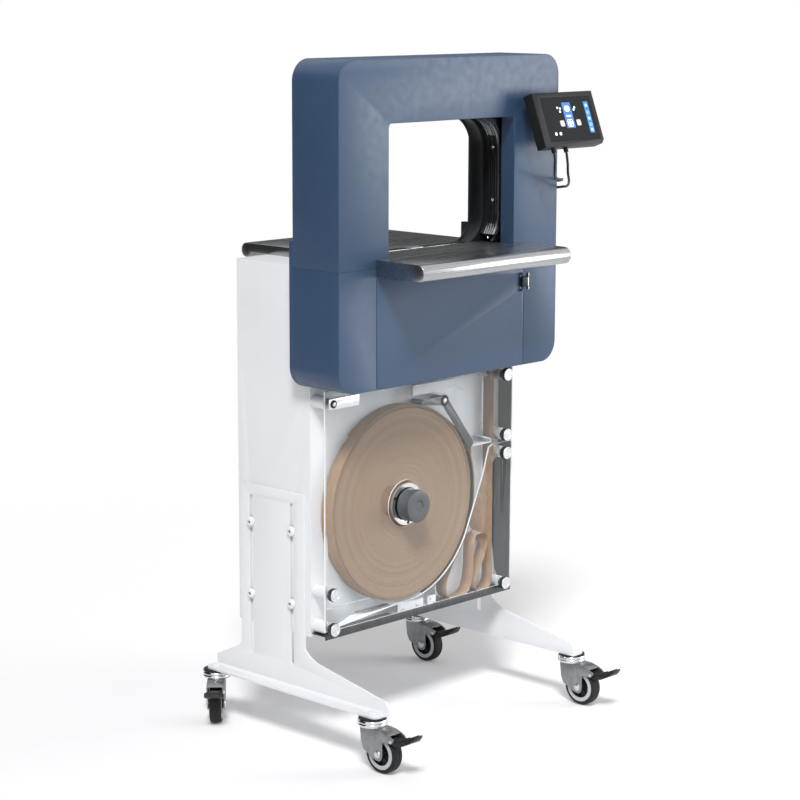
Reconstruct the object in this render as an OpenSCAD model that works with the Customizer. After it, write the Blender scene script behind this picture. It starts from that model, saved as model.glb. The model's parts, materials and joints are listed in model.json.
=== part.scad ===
// Free-standing band strapping machine: arch, tables, column, band reel and castered feet.
// X runs to the right, Y to the back and Z up. Z is zero on the floor.

/* [Arch and housing] */
// Width over the arch and the lower housing
arch_w = 600; // [580:5:680]
// Depth of the arch from its front face
arch_d = 120; // [112:1:140]
// Outer corner radius of the arch and the housing
arch_r = 40; // [20:1:50]
// Sheet of the arch and housing covers
cover_sheet = 3; // [2:0.5:4]
// Width of the arch's opening
open_w = 344; // [320:2:360]
// Height of the opening above the table
open_h = 244; // [200:2:300]
// Height of the beam over the opening
beam_h = 116; // [90:2:140]
// Height of the housing's underside above the floor
housing_base = 686; // [670:2:700]
// Thickness of the plate behind the housing
back_plate_t = 9; // [5:1:12]

/* [Tables] */
// Height of the table's top above the floor
table_top = 926; // [900:2:960]
// Width of the front table
front_table_w = 408; // [390:2:430]
// Reach of the front table in front of the arch
front_table_reach = 118; // [90:2:150]
// Thickness of the front table
front_table_t = 32; // [26:1:36]
// Width of the rear table
rear_table_w = 364; // [350:2:368]
// Back end of the rear table behind the arch's front
rear_table_end = 388; // [370:2:420]
// Sheet of both tables
table_sheet = 3; // [2:0.5:4]

/* [Column] */
// Width of the column
column_w = 526; // [520:2:536]
// Front of the column behind the arch's front
column_front = 114; // [112:1:116]
// Depth of the column
column_d = 198; // [190:2:220]
// Underside of the column above the floor
column_base = 207; // [207:1:212]
// Sheet of the column
column_sheet = 3; // [2:0.5:4]

/* [Feet] */
// Thickness of a foot's plate
foot_t = 4; // [3:0.5:5]
// Width of the gap in a foot's slots
slot_w = 9; // [8.5:0.25:10]
// Radius of the foot bolts' shanks
bolt_r = 4; // [3.5:0.25:4.2]
// Height of the casters
caster_h = 100; // [100:1:104]
// Diameter of the caster wheels
wheel_d = 75; // [70:0.5:76]
// Width of a tyre
tyre_w = 24; // [20:0.5:25]

/* [Reel and band] */
// Radius of the band roll with its outer turns
roll_r = 191.5; // [170:0.5:192]
// Width of the band
band_w = 27.6; // [24:0.2:27.6]
// Radius of the roll's core
core_r = 38.3; // [36:0.1:42]
// Radius of the reel's shaft
shaft_r = 10; // [8:0.5:12]
// Thickness that the single band is drawn with
band_t = 0.8; // [0.6:0.1:1]
// Thickness of the clear covers
clear_t = 4; // [3:0.5:4]

/* [Touch panel] */
// Width of the touch panel
panel_w = 177; // [170:1:190]
// Height of the touch panel
panel_h = 107; // [100:1:116]
// Depth of the touch panel
panel_d = 22; // [18:1:26]
// Backward lean of the touch panel in degrees
panel_lean = 20.8; // [10:0.2:25]
// Radius of the panel's tilt pin
panel_pin_r = 4; // [3:0.5:5]

/* [Hidden] */
$fn = 72;

// Clearances and overruns
over = 1;
soft_gap = 0.3;
run_gap = 0.05;
slide_gap = 0.2;
seam_gap = 1.1;

// Levels and planes that several parts share
arch_x = arch_w / 2;
open_x = open_w / 2;
open_top = table_top + open_h;
arch_top = open_top + beam_h;
part_rise = 16;
part_z = table_top - part_rise;
front_table_base = table_top - front_table_t;
front_table_x = front_table_w / 2;
table_step = 32;
table_mid_x = min(open_x, front_table_x - table_step);
rear_table_x = rear_table_w / 2;
rear_table_t = 18;
column_top = table_top - rear_table_t;
column_x = column_w / 2;
column_back = column_front + column_d;
step_y = arch_d + back_plate_t;
rear_cover_y = arch_d - cover_sheet;
frame_gap = 0.3;
open_corner_r = 8;

// Band compartment planes from front to back
compartment_d = 37;
cover_y0 = column_front - compartment_d;
cover_y1 = cover_y0 + clear_t;
lever_t = 1.8;
lever_y0 = cover_y1 + soft_gap;
lever_y1 = lever_y0 + lever_t;
band_lead = 0.5;
band_y0 = lever_y1 + band_lead;
band_y1 = band_y0 + band_w;

// Reel
reel_x = -46;
reel_rise = 229;
reel_z = column_base + reel_rise;
knob_r = 31;
knob_front = 40;
knob_back = 70;
hub_ring_r = 41;
hub_ring_y = 72;

// Cover fasteners, as places across and above the column's base
stud_r = 3;
stud_front = 66;
standoff_r = 12;
cover_knob_r = 12.5;
cover_knob_y0 = 62;
cover_knob_y1 = 74;
cover_collar_r = 7;
fastener_left = -248;
fastener_right = 234;
reel_left_rise = 88;
reel_top_rise = 448;
pool_top_rise = 289;
knob_pitch = 37;
reel_low_rise = pool_top_rise + knob_pitch;
pool_low_rise = 21;
latch_x = -250;
latch_rise = 451;
reel_fasteners = [[fastener_left, column_base + reel_left_rise],
    [fastener_right, column_base + reel_top_rise], [fastener_right, column_base + reel_low_rise]];
pool_fasteners = [[fastener_left, column_base + pool_low_rise],
    [fastener_right, column_base + pool_top_rise], [fastener_right, column_base + pool_low_rise]];
latch_place = [latch_x, column_base + latch_rise];

// Rollers that draw the band up through the housing
strand_x = 212;
drive_r = 15;
pressure_r = 12;
roller_share = 0.5481;
roller_z = housing_base + roller_share * (front_table_base - housing_base);
roller_shaft_r = 5;
drive_x = strand_x - band_t / 2 - soft_gap - drive_r;
pressure_x = strand_x + band_t / 2 + soft_gap + pressure_r;
web_t = 7;
web_y0 = arch_d - web_t;

// Feet and casters
foot_in_x = column_x + slide_gap;
foot_out_x = foot_in_x + foot_t;
flange_w = 33;
flange_x = foot_out_x + flange_w;
flange_t = 5;
caster_inset = 16;
caster_x = flange_x - caster_inset;
caster_front_y = -70;
caster_rear_y = 358;
caster_stem_r = 6;
caster_trail = 30;
wheel_r = wheel_d / 2;
axle_r = 4;
pedal_reach = 117;
pedal_tip_half = 10;
rear_left_turn = 45;
slot_y0 = 161;
slot_y1 = 273;
slot_rise = 45;
slot_l = 314;
slot_low = caster_h + slot_rise;
slot_high = slot_low + slot_l;
bolt_low_rise = 57;
bolt_high_rise = 198;
bolt_low_z = column_base + bolt_low_rise;
bolt_high_z = column_base + bolt_high_rise;

// Door and its pivots
door_t = 4;
door_x = front_table_x;
door_pivot_in = 2.2;
door_pin_r = 1.2;
door_top = front_table_base - soft_gap - soft_gap;
door_pivot_x = -door_x + seam_gap / 2 + door_pivot_in;
latch_pin_x = 194.5;
latch_pin_y = -4.5;
latch_share = 0.702;
latch_h = 36;
latch_z0 = housing_base + latch_share * (front_table_base - housing_base);
latch_z1 = latch_z0 + latch_h;

// Sealing head
head_x0 = -24;
head_x1 = 12;
head_y0 = 86;
head_y1 = 100;
horn_in = 4;
horn_top_drop = 21;
cam_r = 12;
cam_throw = 4;
cam_gap = 0.95;
cam_drop = 72;
horn_base = table_top - cam_drop + cam_r - cam_throw + cam_gap;
cam_z = table_top - cam_drop;
cam_x = (head_x0 + head_x1) / 2;
cam_shaft_r = 4;

// Touch panel, in a frame whose origin lies on its tilt pin
panel_over = 57;
panel_x1 = arch_x + panel_over;
panel_x0 = panel_x1 - panel_w;
panel_pin_y = -23;
panel_pin_drop = 133;
panel_pin_z = arch_top - panel_pin_drop;
panel_back = -9.9;
panel_front = panel_back - panel_d;
panel_low = -53.9;
panel_high = panel_low + panel_h;
screen_left = 19;
screen_edge = 10;
screen_t = 1.5;

// Place of the model's origin, midway between the outermost points
low_x = -caster_x - (pedal_reach + pedal_tip_half) * cos(rear_left_turn);
low_y = caster_front_y - pedal_reach;
shift_x = -(low_x + panel_x1) / 2;
shift_y = -(low_y + rear_table_end) / 2;

// Colours
blue_grey = [0.25, 0.34, 0.43];
white_grey = [0.86, 0.87, 0.89];
steel = [0.62, 0.64, 0.66];
dark_steel = [0.3, 0.32, 0.34];
black = [0.08, 0.08, 0.09];
kraft = [0.66, 0.5, 0.38];
clear_tint = [0.8, 0.87, 0.9, 0.35];

module placed() {
    translate([shift_x, shift_y, 0]) children();
}

module block(x0, x1, y0, y1, z0, z1) {
    translate([x0, y0, z0]) cube([x1 - x0, y1 - y0, z1 - z0]);
}

// Rod along Y between two planes
module y_rod(x, z, y0, y1, r) {
    translate([x, y1, z]) rotate([90, 0, 0]) cylinder(h = y1 - y0, r = r);
}

// Rod along X between two planes
module x_rod(y, z, x0, x1, r) {
    translate([x0, y, z]) rotate([0, 90, 0]) cylinder(h = x1 - x0, r = r);
}

// Outline in X and Z, thickened from plane y0 to plane y1
module xz_slab(y0, y1) {
    translate([0, y1, 0]) rotate([90, 0, 0]) linear_extrude(height = y1 - y0) children();
}

// Outline in Y and Z, thickened from plane x0 to plane x1
module yz_slab(x0, x1) {
    translate([x0, 0, 0]) rotate([90, 0, 90]) linear_extrude(height = x1 - x0) children();
}

// Slab with rounded corners in X and Z, symmetric about X
module round_slab(half, z0, z1, r_low, r_high, y0, y1) {
    block(-half, half, y0, y1, z0 + r_low, z1 - r_high);
    if (r_high > 0) {
        block(-half + r_high, half - r_high, y0, y1, z1 - r_high - over, z1);
        for (s = [-1, 1]) y_rod(s * (half - r_high), z1 - r_high, y0, y1, r_high);
    }
    if (r_low > 0) {
        block(-half + r_low, half - r_low, y0, y1, z0, z0 + r_low + over);
        for (s = [-1, 1]) y_rod(s * (half - r_low), z0 + r_low, y0, y1, r_low);
    }
}

// Column: folded sheet, open at the back, stepped back behind the lower housing
column_profile = [[column_front, column_base], [column_back, column_base], [column_back, column_top],
    [step_y, column_top], [step_y, housing_base], [column_front, housing_base]];
column_hollow = [[column_front + column_sheet, column_base + column_sheet],
    [column_back + over, column_base + column_sheet], [column_back + over, column_top - column_sheet],
    [step_y + column_sheet, column_top - column_sheet],
    [step_y + column_sheet, housing_base - column_sheet],
    [column_front + column_sheet, housing_base - column_sheet]];

module column_shell() {
    color(white_grey) placed() difference() {
        yz_slab(-column_x, column_x) polygon(column_profile);
        yz_slab(-column_x + column_sheet, column_x - column_sheet) polygon(column_hollow);
        y_rod(reel_x, reel_z, column_front - over, column_front + column_sheet + over, shaft_r + run_gap);
        y_rod(drive_x, roller_z, step_y - over, step_y + column_sheet + over,
            roller_shaft_r + slide_gap);
        for (s = [-1, 1], y = [slot_y0, slot_y1], z = [bolt_low_z, bolt_high_z])
            x_rod(y, z, s * column_x - column_sheet - over, s * column_x + column_sheet + over,
                bolt_r + run_gap);
    }
}

back_cover_t = 2;
back_cover_in = 1;
vent_count = 8;
vent_w = 180;
vent_h = 6;
vent_pitch = 16;
vent_drop = 200;
inlet_x0 = -30;
inlet_x1 = 34;
inlet_rise = 43;
inlet_h = 30;
inlet_z0 = column_base + inlet_rise;
inlet_z1 = inlet_z0 + inlet_h;

module column_back_cover() {
    color(white_grey) placed() difference() {
        block(-column_x + back_cover_in, column_x - back_cover_in, column_back,
            column_back + back_cover_t, column_base + back_cover_in, column_top - back_cover_in);
        for (i = [0:vent_count - 1])
            block(-vent_w / 2, vent_w / 2, column_back - over, column_back + back_cover_t + over,
                column_top - vent_drop - i * vent_pitch, column_top - vent_drop - i * vent_pitch + vent_h);
        block(inlet_x0, inlet_x1, column_back - over, column_back + back_cover_t + over,
            inlet_z0, inlet_z1);
    }
}

// Arch covers
module arch_opening(half, top, y0, y1) {
    round_slab(half, part_z - over, top, 0, open_corner_r, y0, y1);
}

reveal_d = 34;

module arch_front_cover() {
    color(blue_grey) placed() difference() {
        round_slab(arch_x, part_z, arch_top, 0, arch_r, 0, rear_cover_y);
        difference() {
            round_slab(arch_x - cover_sheet, part_z - over, arch_top - cover_sheet, 0,
                arch_r - cover_sheet, cover_sheet, rear_cover_y + over);
            arch_opening(open_x + cover_sheet, open_top + cover_sheet, 0, reveal_d);
        }
        arch_opening(open_x, open_top, -over, reveal_d + over);
    }
}

module arch_rear_cover() {
    color(blue_grey) placed() difference() {
        round_slab(arch_x, part_z, arch_top, 0, arch_r, rear_cover_y, arch_d);
        arch_opening(open_x, open_top, rear_cover_y - over, arch_d + over);
    }
}

// Lower housing with the door's opening and the notch for the front table
pivot_ear_w = 7;
pivot_boss = 4;
strand_slot_half = 7;

module lower_housing() {
    color(blue_grey) placed() difference() {
        union() {
            difference() {
                round_slab(arch_x, housing_base, part_z, arch_r, 0, 0, arch_d);
                round_slab(arch_x - cover_sheet, housing_base + cover_sheet, part_z + over,
                    arch_r - cover_sheet, 0, cover_sheet, arch_d + over);
            }
            block(door_pivot_x - pivot_boss, door_pivot_x + pivot_boss, cover_sheet - over,
                door_t + seam_gap, door_top, part_z);
        }
        block(-door_x - seam_gap / 2 + pivot_ear_w, door_x + seam_gap / 2, -over, door_t + seam_gap,
            housing_base - over, door_top + seam_gap);
        block(-door_x - seam_gap / 2, door_x + seam_gap / 2, -over, door_t + seam_gap,
            housing_base + cover_sheet, door_top + seam_gap);
        block(-table_mid_x, table_mid_x, -over, cover_sheet + over, door_top, part_z + over);
        block(strand_x - strand_slot_half, strand_x + strand_slot_half, cover_y1, web_y0,
            housing_base - over, housing_base + cover_sheet + over);
        z_rod(door_pivot_x, door_t / 2, housing_base - over, housing_base + cover_sheet + over,
            door_pin_r);
        z_rod(door_pivot_x, door_t / 2, door_top, part_z - part_rise / 2, door_pin_r);
    }
}

// Rod along Z between two levels
module z_rod(x, y, z0, z1, r) {
    translate([x, y, z0]) cylinder(h = z1 - z0, r = r);
}

tab_rise = 49;
tab_in = 10;

module lower_back_plate() {
    color(blue_grey) placed() difference() {
        round_slab(arch_x, housing_base, part_z + tab_rise, arch_r, 0, arch_d, step_y);
        for (x = [rear_table_x + soft_gap, open_x + tab_in])
            block(-x, x, arch_d - over, step_y + over, column_top, part_z + tab_rise + over);
        y_rod(drive_x, roller_z, arch_d - over, step_y + over, roller_shaft_r + slide_gap);
    }
}

// Frame inside the arch and the housing: an upright plate round the opening and a lower web
frame_t = 12;
guide_out = 16;
guide_in = 2;
guide_x = open_x - guide_in;
guide_top = open_top - guide_in;
frame_in_x = guide_x + guide_out;
frame_in_top = guide_top + guide_out;
frame_x = arch_x - cover_sheet - frame_gap;
frame_low = housing_base + cover_sheet + frame_gap;
web_top = front_table_base;
rail_x = 156;
rail_t = 12;
rail_h = 28;
rail_y0 = 16;
horn_block_wall = 8;
horn_block_h = 24;
frame_overlap = 30;

module machine_frame() {
    color(dark_steel) placed() difference() {
        union() {
            difference() {
                round_slab(frame_x, web_top - frame_overlap, arch_top - cover_sheet - frame_gap, 0,
                    arch_r - cover_sheet - frame_gap, rear_cover_y - frame_t, rear_cover_y);
                block(-frame_in_x, frame_in_x, rear_cover_y - frame_t - over, rear_cover_y + over,
                    web_top - frame_overlap - over, frame_in_top);
            }
            round_slab(frame_x, frame_low, web_top, arch_r - cover_sheet - frame_gap, 0,
                web_y0, arch_d);
            for (s = [-1, 1])
                block(s * rail_x - rail_t / 2, s * rail_x + rail_t / 2, rail_y0, web_y0 + over,
                    front_table_base - rail_h, front_table_base);
            block(head_x0 - horn_block_wall, head_x1 + horn_block_wall, slot_front,
                web_y0 + over, front_table_base - horn_block_h, front_table_base);
        }
        block(head_x0 + horn_in - slide_gap, head_x1 - horn_in + slide_gap, head_y0 - horn_in - slide_gap,
            head_y1 + slide_gap, front_table_base - horn_block_h - over, front_table_base + over);
        y_rod(drive_x, roller_z, web_y0 - over, arch_d + over, roller_shaft_r + run_gap);
        y_rod(pressure_x, roller_z, web_y0 - over, arch_d + over, roller_shaft_r + run_gap);
        y_rod(cam_x, cam_z, web_y0 - over, arch_d + over, cam_shaft_r + run_gap);
    }
}

// Tables
slot_front = 78;
slot_back = 84;

module front_table() {
    color(steel) placed() difference() {
        union() {
            block(-front_table_x, front_table_x, -front_table_reach + front_table_t / 2, -soft_gap,
                front_table_base, table_top);
            x_rod(-front_table_reach + front_table_t / 2, table_top - front_table_t / 2,
                -front_table_x, front_table_x, front_table_t / 2);
            block(-table_mid_x + soft_gap, table_mid_x - soft_gap, -over, slot_front, front_table_base,
                table_top);
        }
        block(-front_table_x + table_sheet, front_table_x - table_sheet,
            -front_table_reach + front_table_t + table_sheet, -table_sheet,
            front_table_base - over, table_top - table_sheet);
        block(-table_mid_x + soft_gap + table_sheet, table_mid_x - soft_gap - table_sheet,
            -table_sheet - over, slot_front - table_sheet, front_table_base - over,
            table_top - table_sheet);
    }
}

rear_nose_r = 14;
tongue_x = 129.5;
head_notch = 2;

module rear_table() {
    color(steel) placed() difference() {
        union() {
            block(-rear_table_x, rear_table_x, arch_d + soft_gap, rear_table_end - rear_nose_r,
                column_top, table_top);
            x_rod(rear_table_end - rear_nose_r, table_top - rear_nose_r, -rear_table_x, rear_table_x,
                rear_nose_r);
            block(-tongue_x, tongue_x, slot_back, arch_d + over, column_top, table_top);
        }
        block(-rear_table_x + table_sheet, rear_table_x - table_sheet, step_y + table_sheet,
            column_back - table_sheet, column_top - over, table_top - table_sheet);
        block(head_x0 - head_notch, head_x1 + head_notch, slot_back - over, head_y1 + head_notch,
            column_top - over, table_top + over);
    }
}

// Guide that leads the band round the opening
track_r = 62;
track_drop = 6;
track_low = table_top - track_drop;
guide_y0 = 79;
guide_y1 = 115;
groove_d = 3;
strip_y0 = 44;
strip_y1 = 63;
strip_t = 10;
strip_web_t = 5;
strip_web_in = 5;
strip_end_rise = 16;
ridge_count = 4;
groove_share = 0.55;
strip_groove_d = 1.6;
front_plate_y = 37.5;
front_plate_t = 5.1;
front_plate_in = 1;

// Ring round the opening between two offsets from the band track's inner face
module track_ring(in, out, y0, y1) {
    difference() {
        round_slab(guide_x + out, track_low - out, guide_top + out, track_r + out, track_r + out, y0, y1);
        round_slab(guide_x + in, track_low - in, guide_top + in, track_r + in, track_r + in,
            y0 - over, y1 + over);
    }
}

module band_guide() {
    color(black) placed() difference() {
        block(-frame_in_x, frame_in_x, guide_y0, guide_y1, track_low - guide_out, frame_in_top);
        round_slab(guide_x, track_low, guide_top, track_r, track_r, guide_y0 - over, guide_y1 + over);
        round_slab(guide_x + groove_d, track_low - groove_d, guide_top + groove_d, track_r + groove_d,
            track_r + groove_d, band_y0, band_y1);
        block(-tongue_x - soft_gap, tongue_x + soft_gap, guide_y0 - over, guide_y1 + over,
            track_low - guide_out - over, table_top + over);
    }
}

module guide_strips() {
    strip_w = strip_y1 - strip_y0;
    pitch = strip_w / (ridge_count - 1 + (1 - groove_share));
    color(steel) placed() difference() {
        union() {
            track_ring(0, strip_t, strip_y0, strip_y1);
            track_ring(strip_web_in, strip_t, front_plate_y + front_plate_t - over, guide_y0);
            track_ring(front_plate_in, strip_t, front_plate_y, front_plate_y + front_plate_t);
        }
        for (i = [0:ridge_count - 2])
            track_ring(-over, strip_groove_d, strip_y0 + (i + 1 - groove_share) * pitch,
                strip_y0 + (i + 1) * pitch);
        block(-arch_x, arch_x, 0, arch_d, track_low - arch_r, table_top + strip_end_rise);
    }
}

corner_t = 4;
corner_back = 47;
corner_rise = 3;
guide_block_w = 10;
guide_block_d = 13;
guide_block_h = 34;

module guide_corner_plates() {
    color(dark_steel) placed() {
        difference() {
            block(-frame_in_x, frame_in_x, corner_back - corner_t, corner_back, table_top + corner_rise,
                frame_in_top);
            round_slab(guide_x + strip_t + soft_gap, track_low - strip_t - soft_gap,
                guide_top + strip_t + soft_gap, track_r + strip_t + soft_gap,
                track_r + strip_t + soft_gap, corner_back - corner_t - over, corner_back + over);
        }
        for (s = [-1, 1]) mirror([s < 0 ? 1 : 0, 0, 0])
            block(open_x - guide_block_w, open_x - soft_gap, guide_y1 + soft_gap + soft_gap,
                guide_y1 + guide_block_d, table_top + corner_rise, table_top + guide_block_h);
    }
}

// Screws in the plates' upper corners, where the arch's opening leaves them in sight
screw_r = 2.5;
screw_t = 2;
screw_in = 9;

module guide_screws() {
    color(steel) placed() for (s = [-1, 1])
        y_rod(s * (open_x - screw_in), open_top - screw_in, corner_back - corner_t - screw_t,
            corner_back - corner_t, screw_r);
}

// Plates of the sealing head, flush with the tables
head_plate_t = 7;
head_leg_t = 1.4;
head_split = -7;
head_split_gap = 1;

module head_plates() {
    color(steel) placed() {
        block(head_x0, head_split, head_y0, head_y1, table_top - head_plate_t, table_top);
        block(head_x0, head_x0 + head_leg_t, head_y0, head_y1, front_table_base, table_top);
        block(head_split + head_split_gap, head_x1, head_y0, head_y1, table_top - head_plate_t,
            table_top);
        block(head_x1 - head_leg_t, head_x1, head_y0, head_y1, front_table_base, table_top);
    }
}

// Door pivots and the keeper of its latch
pivot_engage = 9;
keeper_x = 214;
keeper_w = 3;
keeper_t = 3;
keeper_in = 2;

module door_hardware() {
    color(steel) placed() {
        z_rod(door_pivot_x, door_t / 2, housing_base + soft_gap,
            housing_base + cover_sheet + pivot_engage, door_pin_r);
        z_rod(door_pivot_x, door_t / 2, door_top - pivot_engage, part_z - part_rise / 2, door_pin_r);
        block(keeper_x, keeper_x + keeper_w, -keeper_t, 0, latch_z0 + keeper_in, latch_z1 - keeper_in);
    }
}

door_rim = 12;
door_rim_t = 3;
door_rim_d = 8;
latch_ear = 4;
latch_ear_half = 2.5;
latch_pin_r = 1.5;

module front_door() {
    x0 = -door_x + seam_gap / 2;
    x1 = door_x - seam_gap / 2;
    color(blue_grey) placed() {
        difference() {
            union() {
                block(x0, x1, 0, door_t, housing_base, door_top);
                difference() {
                    block(x0 + door_rim, x1 - door_rim, door_t - over, door_t + door_rim_d,
                        housing_base + door_rim, door_top - door_rim);
                    block(x0 + door_rim + door_rim_t, x1 - door_rim - door_rim_t, door_t,
                        door_t + door_rim_d + over, housing_base + door_rim + door_rim_t,
                        door_top - door_rim - door_rim_t);
                }
            }
            block(x0 - over, -door_x - seam_gap / 2 + pivot_ear_w + seam_gap, -over, door_t + over,
                housing_base - over, housing_base + cover_sheet + seam_gap);
            z_rod(door_pivot_x, door_t / 2, housing_base, housing_base + cover_sheet + pivot_engage + over,
                door_pin_r + run_gap);
            z_rod(door_pivot_x, door_t / 2, door_top - pivot_engage - over, door_top + over,
                door_pin_r + run_gap);
        }
        for (z = [latch_z0, latch_z1 - latch_ear])
            difference() {
                block(latch_pin_x - latch_ear_half, latch_pin_x + latch_ear_half,
                    latch_pin_y - latch_ear_half, 0, z, z + latch_ear);
                z_rod(latch_pin_x, latch_pin_y, z - over, z + latch_ear + over,
                    latch_pin_r + run_gap);
            }
    }
}

latch_t = 6;
latch_back = -1.5;

module door_latch() {
    color(black) placed() {
        z_rod(latch_pin_x, latch_pin_y, latch_z0, latch_z1, latch_pin_r);
        block(latch_pin_x - latch_ear_half, keeper_x - soft_gap, latch_back - latch_t, latch_back,
            latch_z0 + latch_ear + soft_gap, latch_z1 - latch_ear - soft_gap);
    }
}

// Drive inside the column and the housing
motor_share = 0.168;
motor_half = motor_share * (front_table_base - housing_base);
motor_l = 86;
motor_grip = 24;

module feed_motor() {
    color(dark_steel) placed() difference() {
        union() {
            block(drive_x - motor_half, drive_x + motor_half, step_y + column_sheet,
                step_y + column_sheet + motor_l / 4, roller_z - motor_half, roller_z + motor_half);
            y_rod(drive_x, roller_z, step_y + column_sheet, step_y + column_sheet + motor_l,
                motor_half - over);
        }
        y_rod(drive_x, roller_z, step_y, step_y + column_sheet + motor_grip + over,
            roller_shaft_r + run_gap);
    }
}

control_x0 = -170;
control_x1 = 60;
control_drop = 26;
control_h = 140;
control_z1 = housing_base - control_drop;
control_d = 70;

module control_box() {
    color(steel) placed() block(control_x0, control_x1, column_front + column_sheet,
        column_front + column_sheet + control_d, control_z1 - control_h, control_z1);
}

module drive_roller() {
    color(dark_steel) placed() {
        y_rod(drive_x, roller_z, band_y0, band_y1, drive_r);
        y_rod(drive_x, roller_z, band_y0, step_y + column_sheet + motor_grip, roller_shaft_r);
    }
}

module pressure_roller() {
    color(steel) placed() {
        y_rod(pressure_x, roller_z, band_y0, band_y1, pressure_r);
        y_rod(pressure_x, roller_z, band_y0, arch_d - soft_gap, roller_shaft_r);
    }
}

cam_t = 12;

module seal_cam() {
    color(dark_steel) placed() {
        y_rod(cam_x, cam_z - cam_throw, head_y1 - cam_t, head_y1, cam_r);
        y_rod(cam_x, cam_z, head_y1 - cam_t, arch_d - soft_gap, cam_shaft_r);
    }
}

module sealing_horn() {
    color(steel) placed() block(head_x0 + horn_in, head_x1 - horn_in, head_y0 - horn_in, head_y1,
        horn_base, table_top - horn_top_drop);
}

// Reel
shaft_nut_r = 16;
shaft_nut_t = 10;
shaft_collar_r = 13;
shaft_collar_t = 0.5;
neck_r = 8;
neck_y = 66;
neck_front = 50;

module reel_shaft() {
    color(steel) placed() {
        y_rod(reel_x, reel_z, neck_y, column_front + column_sheet, shaft_r);
        y_rod(reel_x, reel_z, neck_front, neck_y + over, neck_r);
        y_rod(reel_x, reel_z, column_front - shaft_collar_t, column_front, shaft_collar_r);
        y_rod(reel_x, reel_z, column_front + column_sheet, column_front + column_sheet + shaft_nut_t,
            shaft_nut_r);
    }
}

hub_flange_r = 80;
hub_flange_t = 1.2;
hub_ring_in = 33;
hub_recess = 9;

module reel_hub() {
    color(steel) placed() difference() {
        union() {
            y_rod(reel_x, reel_z, hub_ring_y, lever_y0, hub_ring_r);
            y_rod(reel_x, reel_z, hub_ring_y, band_y1 + soft_gap + over, core_r - soft_gap);
            y_rod(reel_x, reel_z, band_y1 + soft_gap, band_y1 + soft_gap + hub_flange_t, hub_flange_r);
        }
        y_rod(reel_x, reel_z, hub_ring_y - over, hub_ring_y + hub_recess, hub_ring_in);
        y_rod(reel_x, reel_z, hub_ring_y, column_front, shaft_r + run_gap);
    }
}

// The roll's inner turns are solid. Its outer turns are one strip wound on them.
wind_turns = 2;
wind_steps = 72;
wind_t = 1.2;
wind_gap = 0.7;
wind_pitch = wind_t + wind_gap;
wind_in_r = roll_r - wind_t - wind_turns * wind_pitch;
wind_core_r = wind_in_r - wind_gap;

function wind_point(a, r) = [reel_x + r * cos(a), reel_z + r * sin(a)];
wind_rings = [for (i = [0:wind_turns * wind_steps])
    let(a = i * 360 / wind_steps, r = wind_in_r + i * wind_pitch / wind_steps)
    [wind_point(a, r), wind_point(a, r + wind_t)]];
wind_least = wind_gap - wind_in_r * (1 - cos(180 / wind_steps));
echo(least_gap_between_turns = wind_least);

module wound_strip() {
    n = len(wind_rings);
    points = [for (ring = wind_rings, y = [band_y0, band_y1], p = ring) [p[0], y, p[1]]];
    sides = [for (i = [0:n - 2], q = [[0, 1], [1, 3], [3, 2], [2, 0]], t = [0, 1])
        t == 0 ? [4 * i + q[0], 4 * i + 4 + q[1], 4 * i + q[1]]
            : [4 * i + q[0], 4 * i + 4 + q[0], 4 * i + 4 + q[1]]];
    last = 4 * (n - 1);
    ends = [[0, 1, 3], [0, 3, 2], [last, last + 3, last + 1], [last, last + 2, last + 3]];
    polyhedron(points = points, faces = concat(sides, ends));
}

module band_roll() {
    color(kraft) placed() {
        difference() {
            y_rod(reel_x, reel_z, band_y0, band_y1, wind_core_r);
            y_rod(reel_x, reel_z, band_y0 - over, band_y1 + over, core_r);
        }
        wound_strip();
    }
}

dimple_r = 12;
dimple_d = 2;
lock_bore_end = 48;

module lock_knob() {
    color(dark_steel) placed() difference() {
        y_rod(reel_x, reel_z, knob_front, knob_back, knob_r);
        y_rod(reel_x, reel_z, knob_front - over, knob_front + dimple_d, dimple_r);
        y_rod(reel_x, reel_z, lock_bore_end, knob_back + over, neck_r + run_gap);
        y_rod(reel_x, reel_z, neck_y - over, knob_back + over, shaft_r + run_gap);
    }
}

// Pool and brackets behind the clear covers
wall_gap = 8;
wall_t = 1.5;
wall_high_angle = 21.5;
wall_low_angle = -72;
pool_wall_r = roll_r + wall_gap;
tray_rise = 8.5;
tray_t = 2.5;
tray_z = column_base + tray_rise;
tray_x0 = -260;
side_wall_x = 262.5;
side_wall_t = 2.5;
lip_rise = 15;
lip_t = 2;

module pool_wall() {
    color(steel) placed() translate([reel_x, column_front, reel_z]) rotate([90, 0, 0])
        rotate([0, 0, wall_low_angle]) rotate_extrude(angle = wall_high_angle - wall_low_angle)
            translate([pool_wall_r, 0]) square([wall_t, column_front - band_y0]);
}

module pool_tray() {
    color(dark_steel) placed() {
        block(tray_x0, side_wall_x, cover_y0, column_front, tray_z - tray_t, tray_z);
        block(tray_x0, side_wall_x, cover_y0, cover_y0 + lip_t, column_base, column_base + lip_rise);
        block(side_wall_x - side_wall_t, side_wall_x, cover_y1 + soft_gap, column_front, tray_z - tray_t,
            housing_base);
    }
}

// Lever that brakes the roll when the band is slack
pivot_x = 66;
pivot_rise = 415;
pivot_z = column_base + pivot_rise;
pivot_stud_r = 5;
lever_hub_r = 9;
tip_x = 140;
tip_rise = 321;
tip_z = column_base + tip_rise;
tip_r = 4;
arm_half = 9;
pad_r = 5;
pad_angle = 74.3;
pad_gap = 0.5;
pad_dist = roll_r + pad_gap + pad_r;
pad_x = reel_x + pad_dist * cos(pad_angle);
pad_z = reel_z + pad_dist * sin(pad_angle);

// Corners of a straight arm between two points, half_0 and half_1 wide at its ends
function arm_outline(p, q, half_0, half_1) =
    let(d = (q - p) / norm(q - p), n = [-d[1], d[0]])
    [p + n * half_0, q + n * half_1, q - n * half_1, p - n * half_0];

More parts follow.
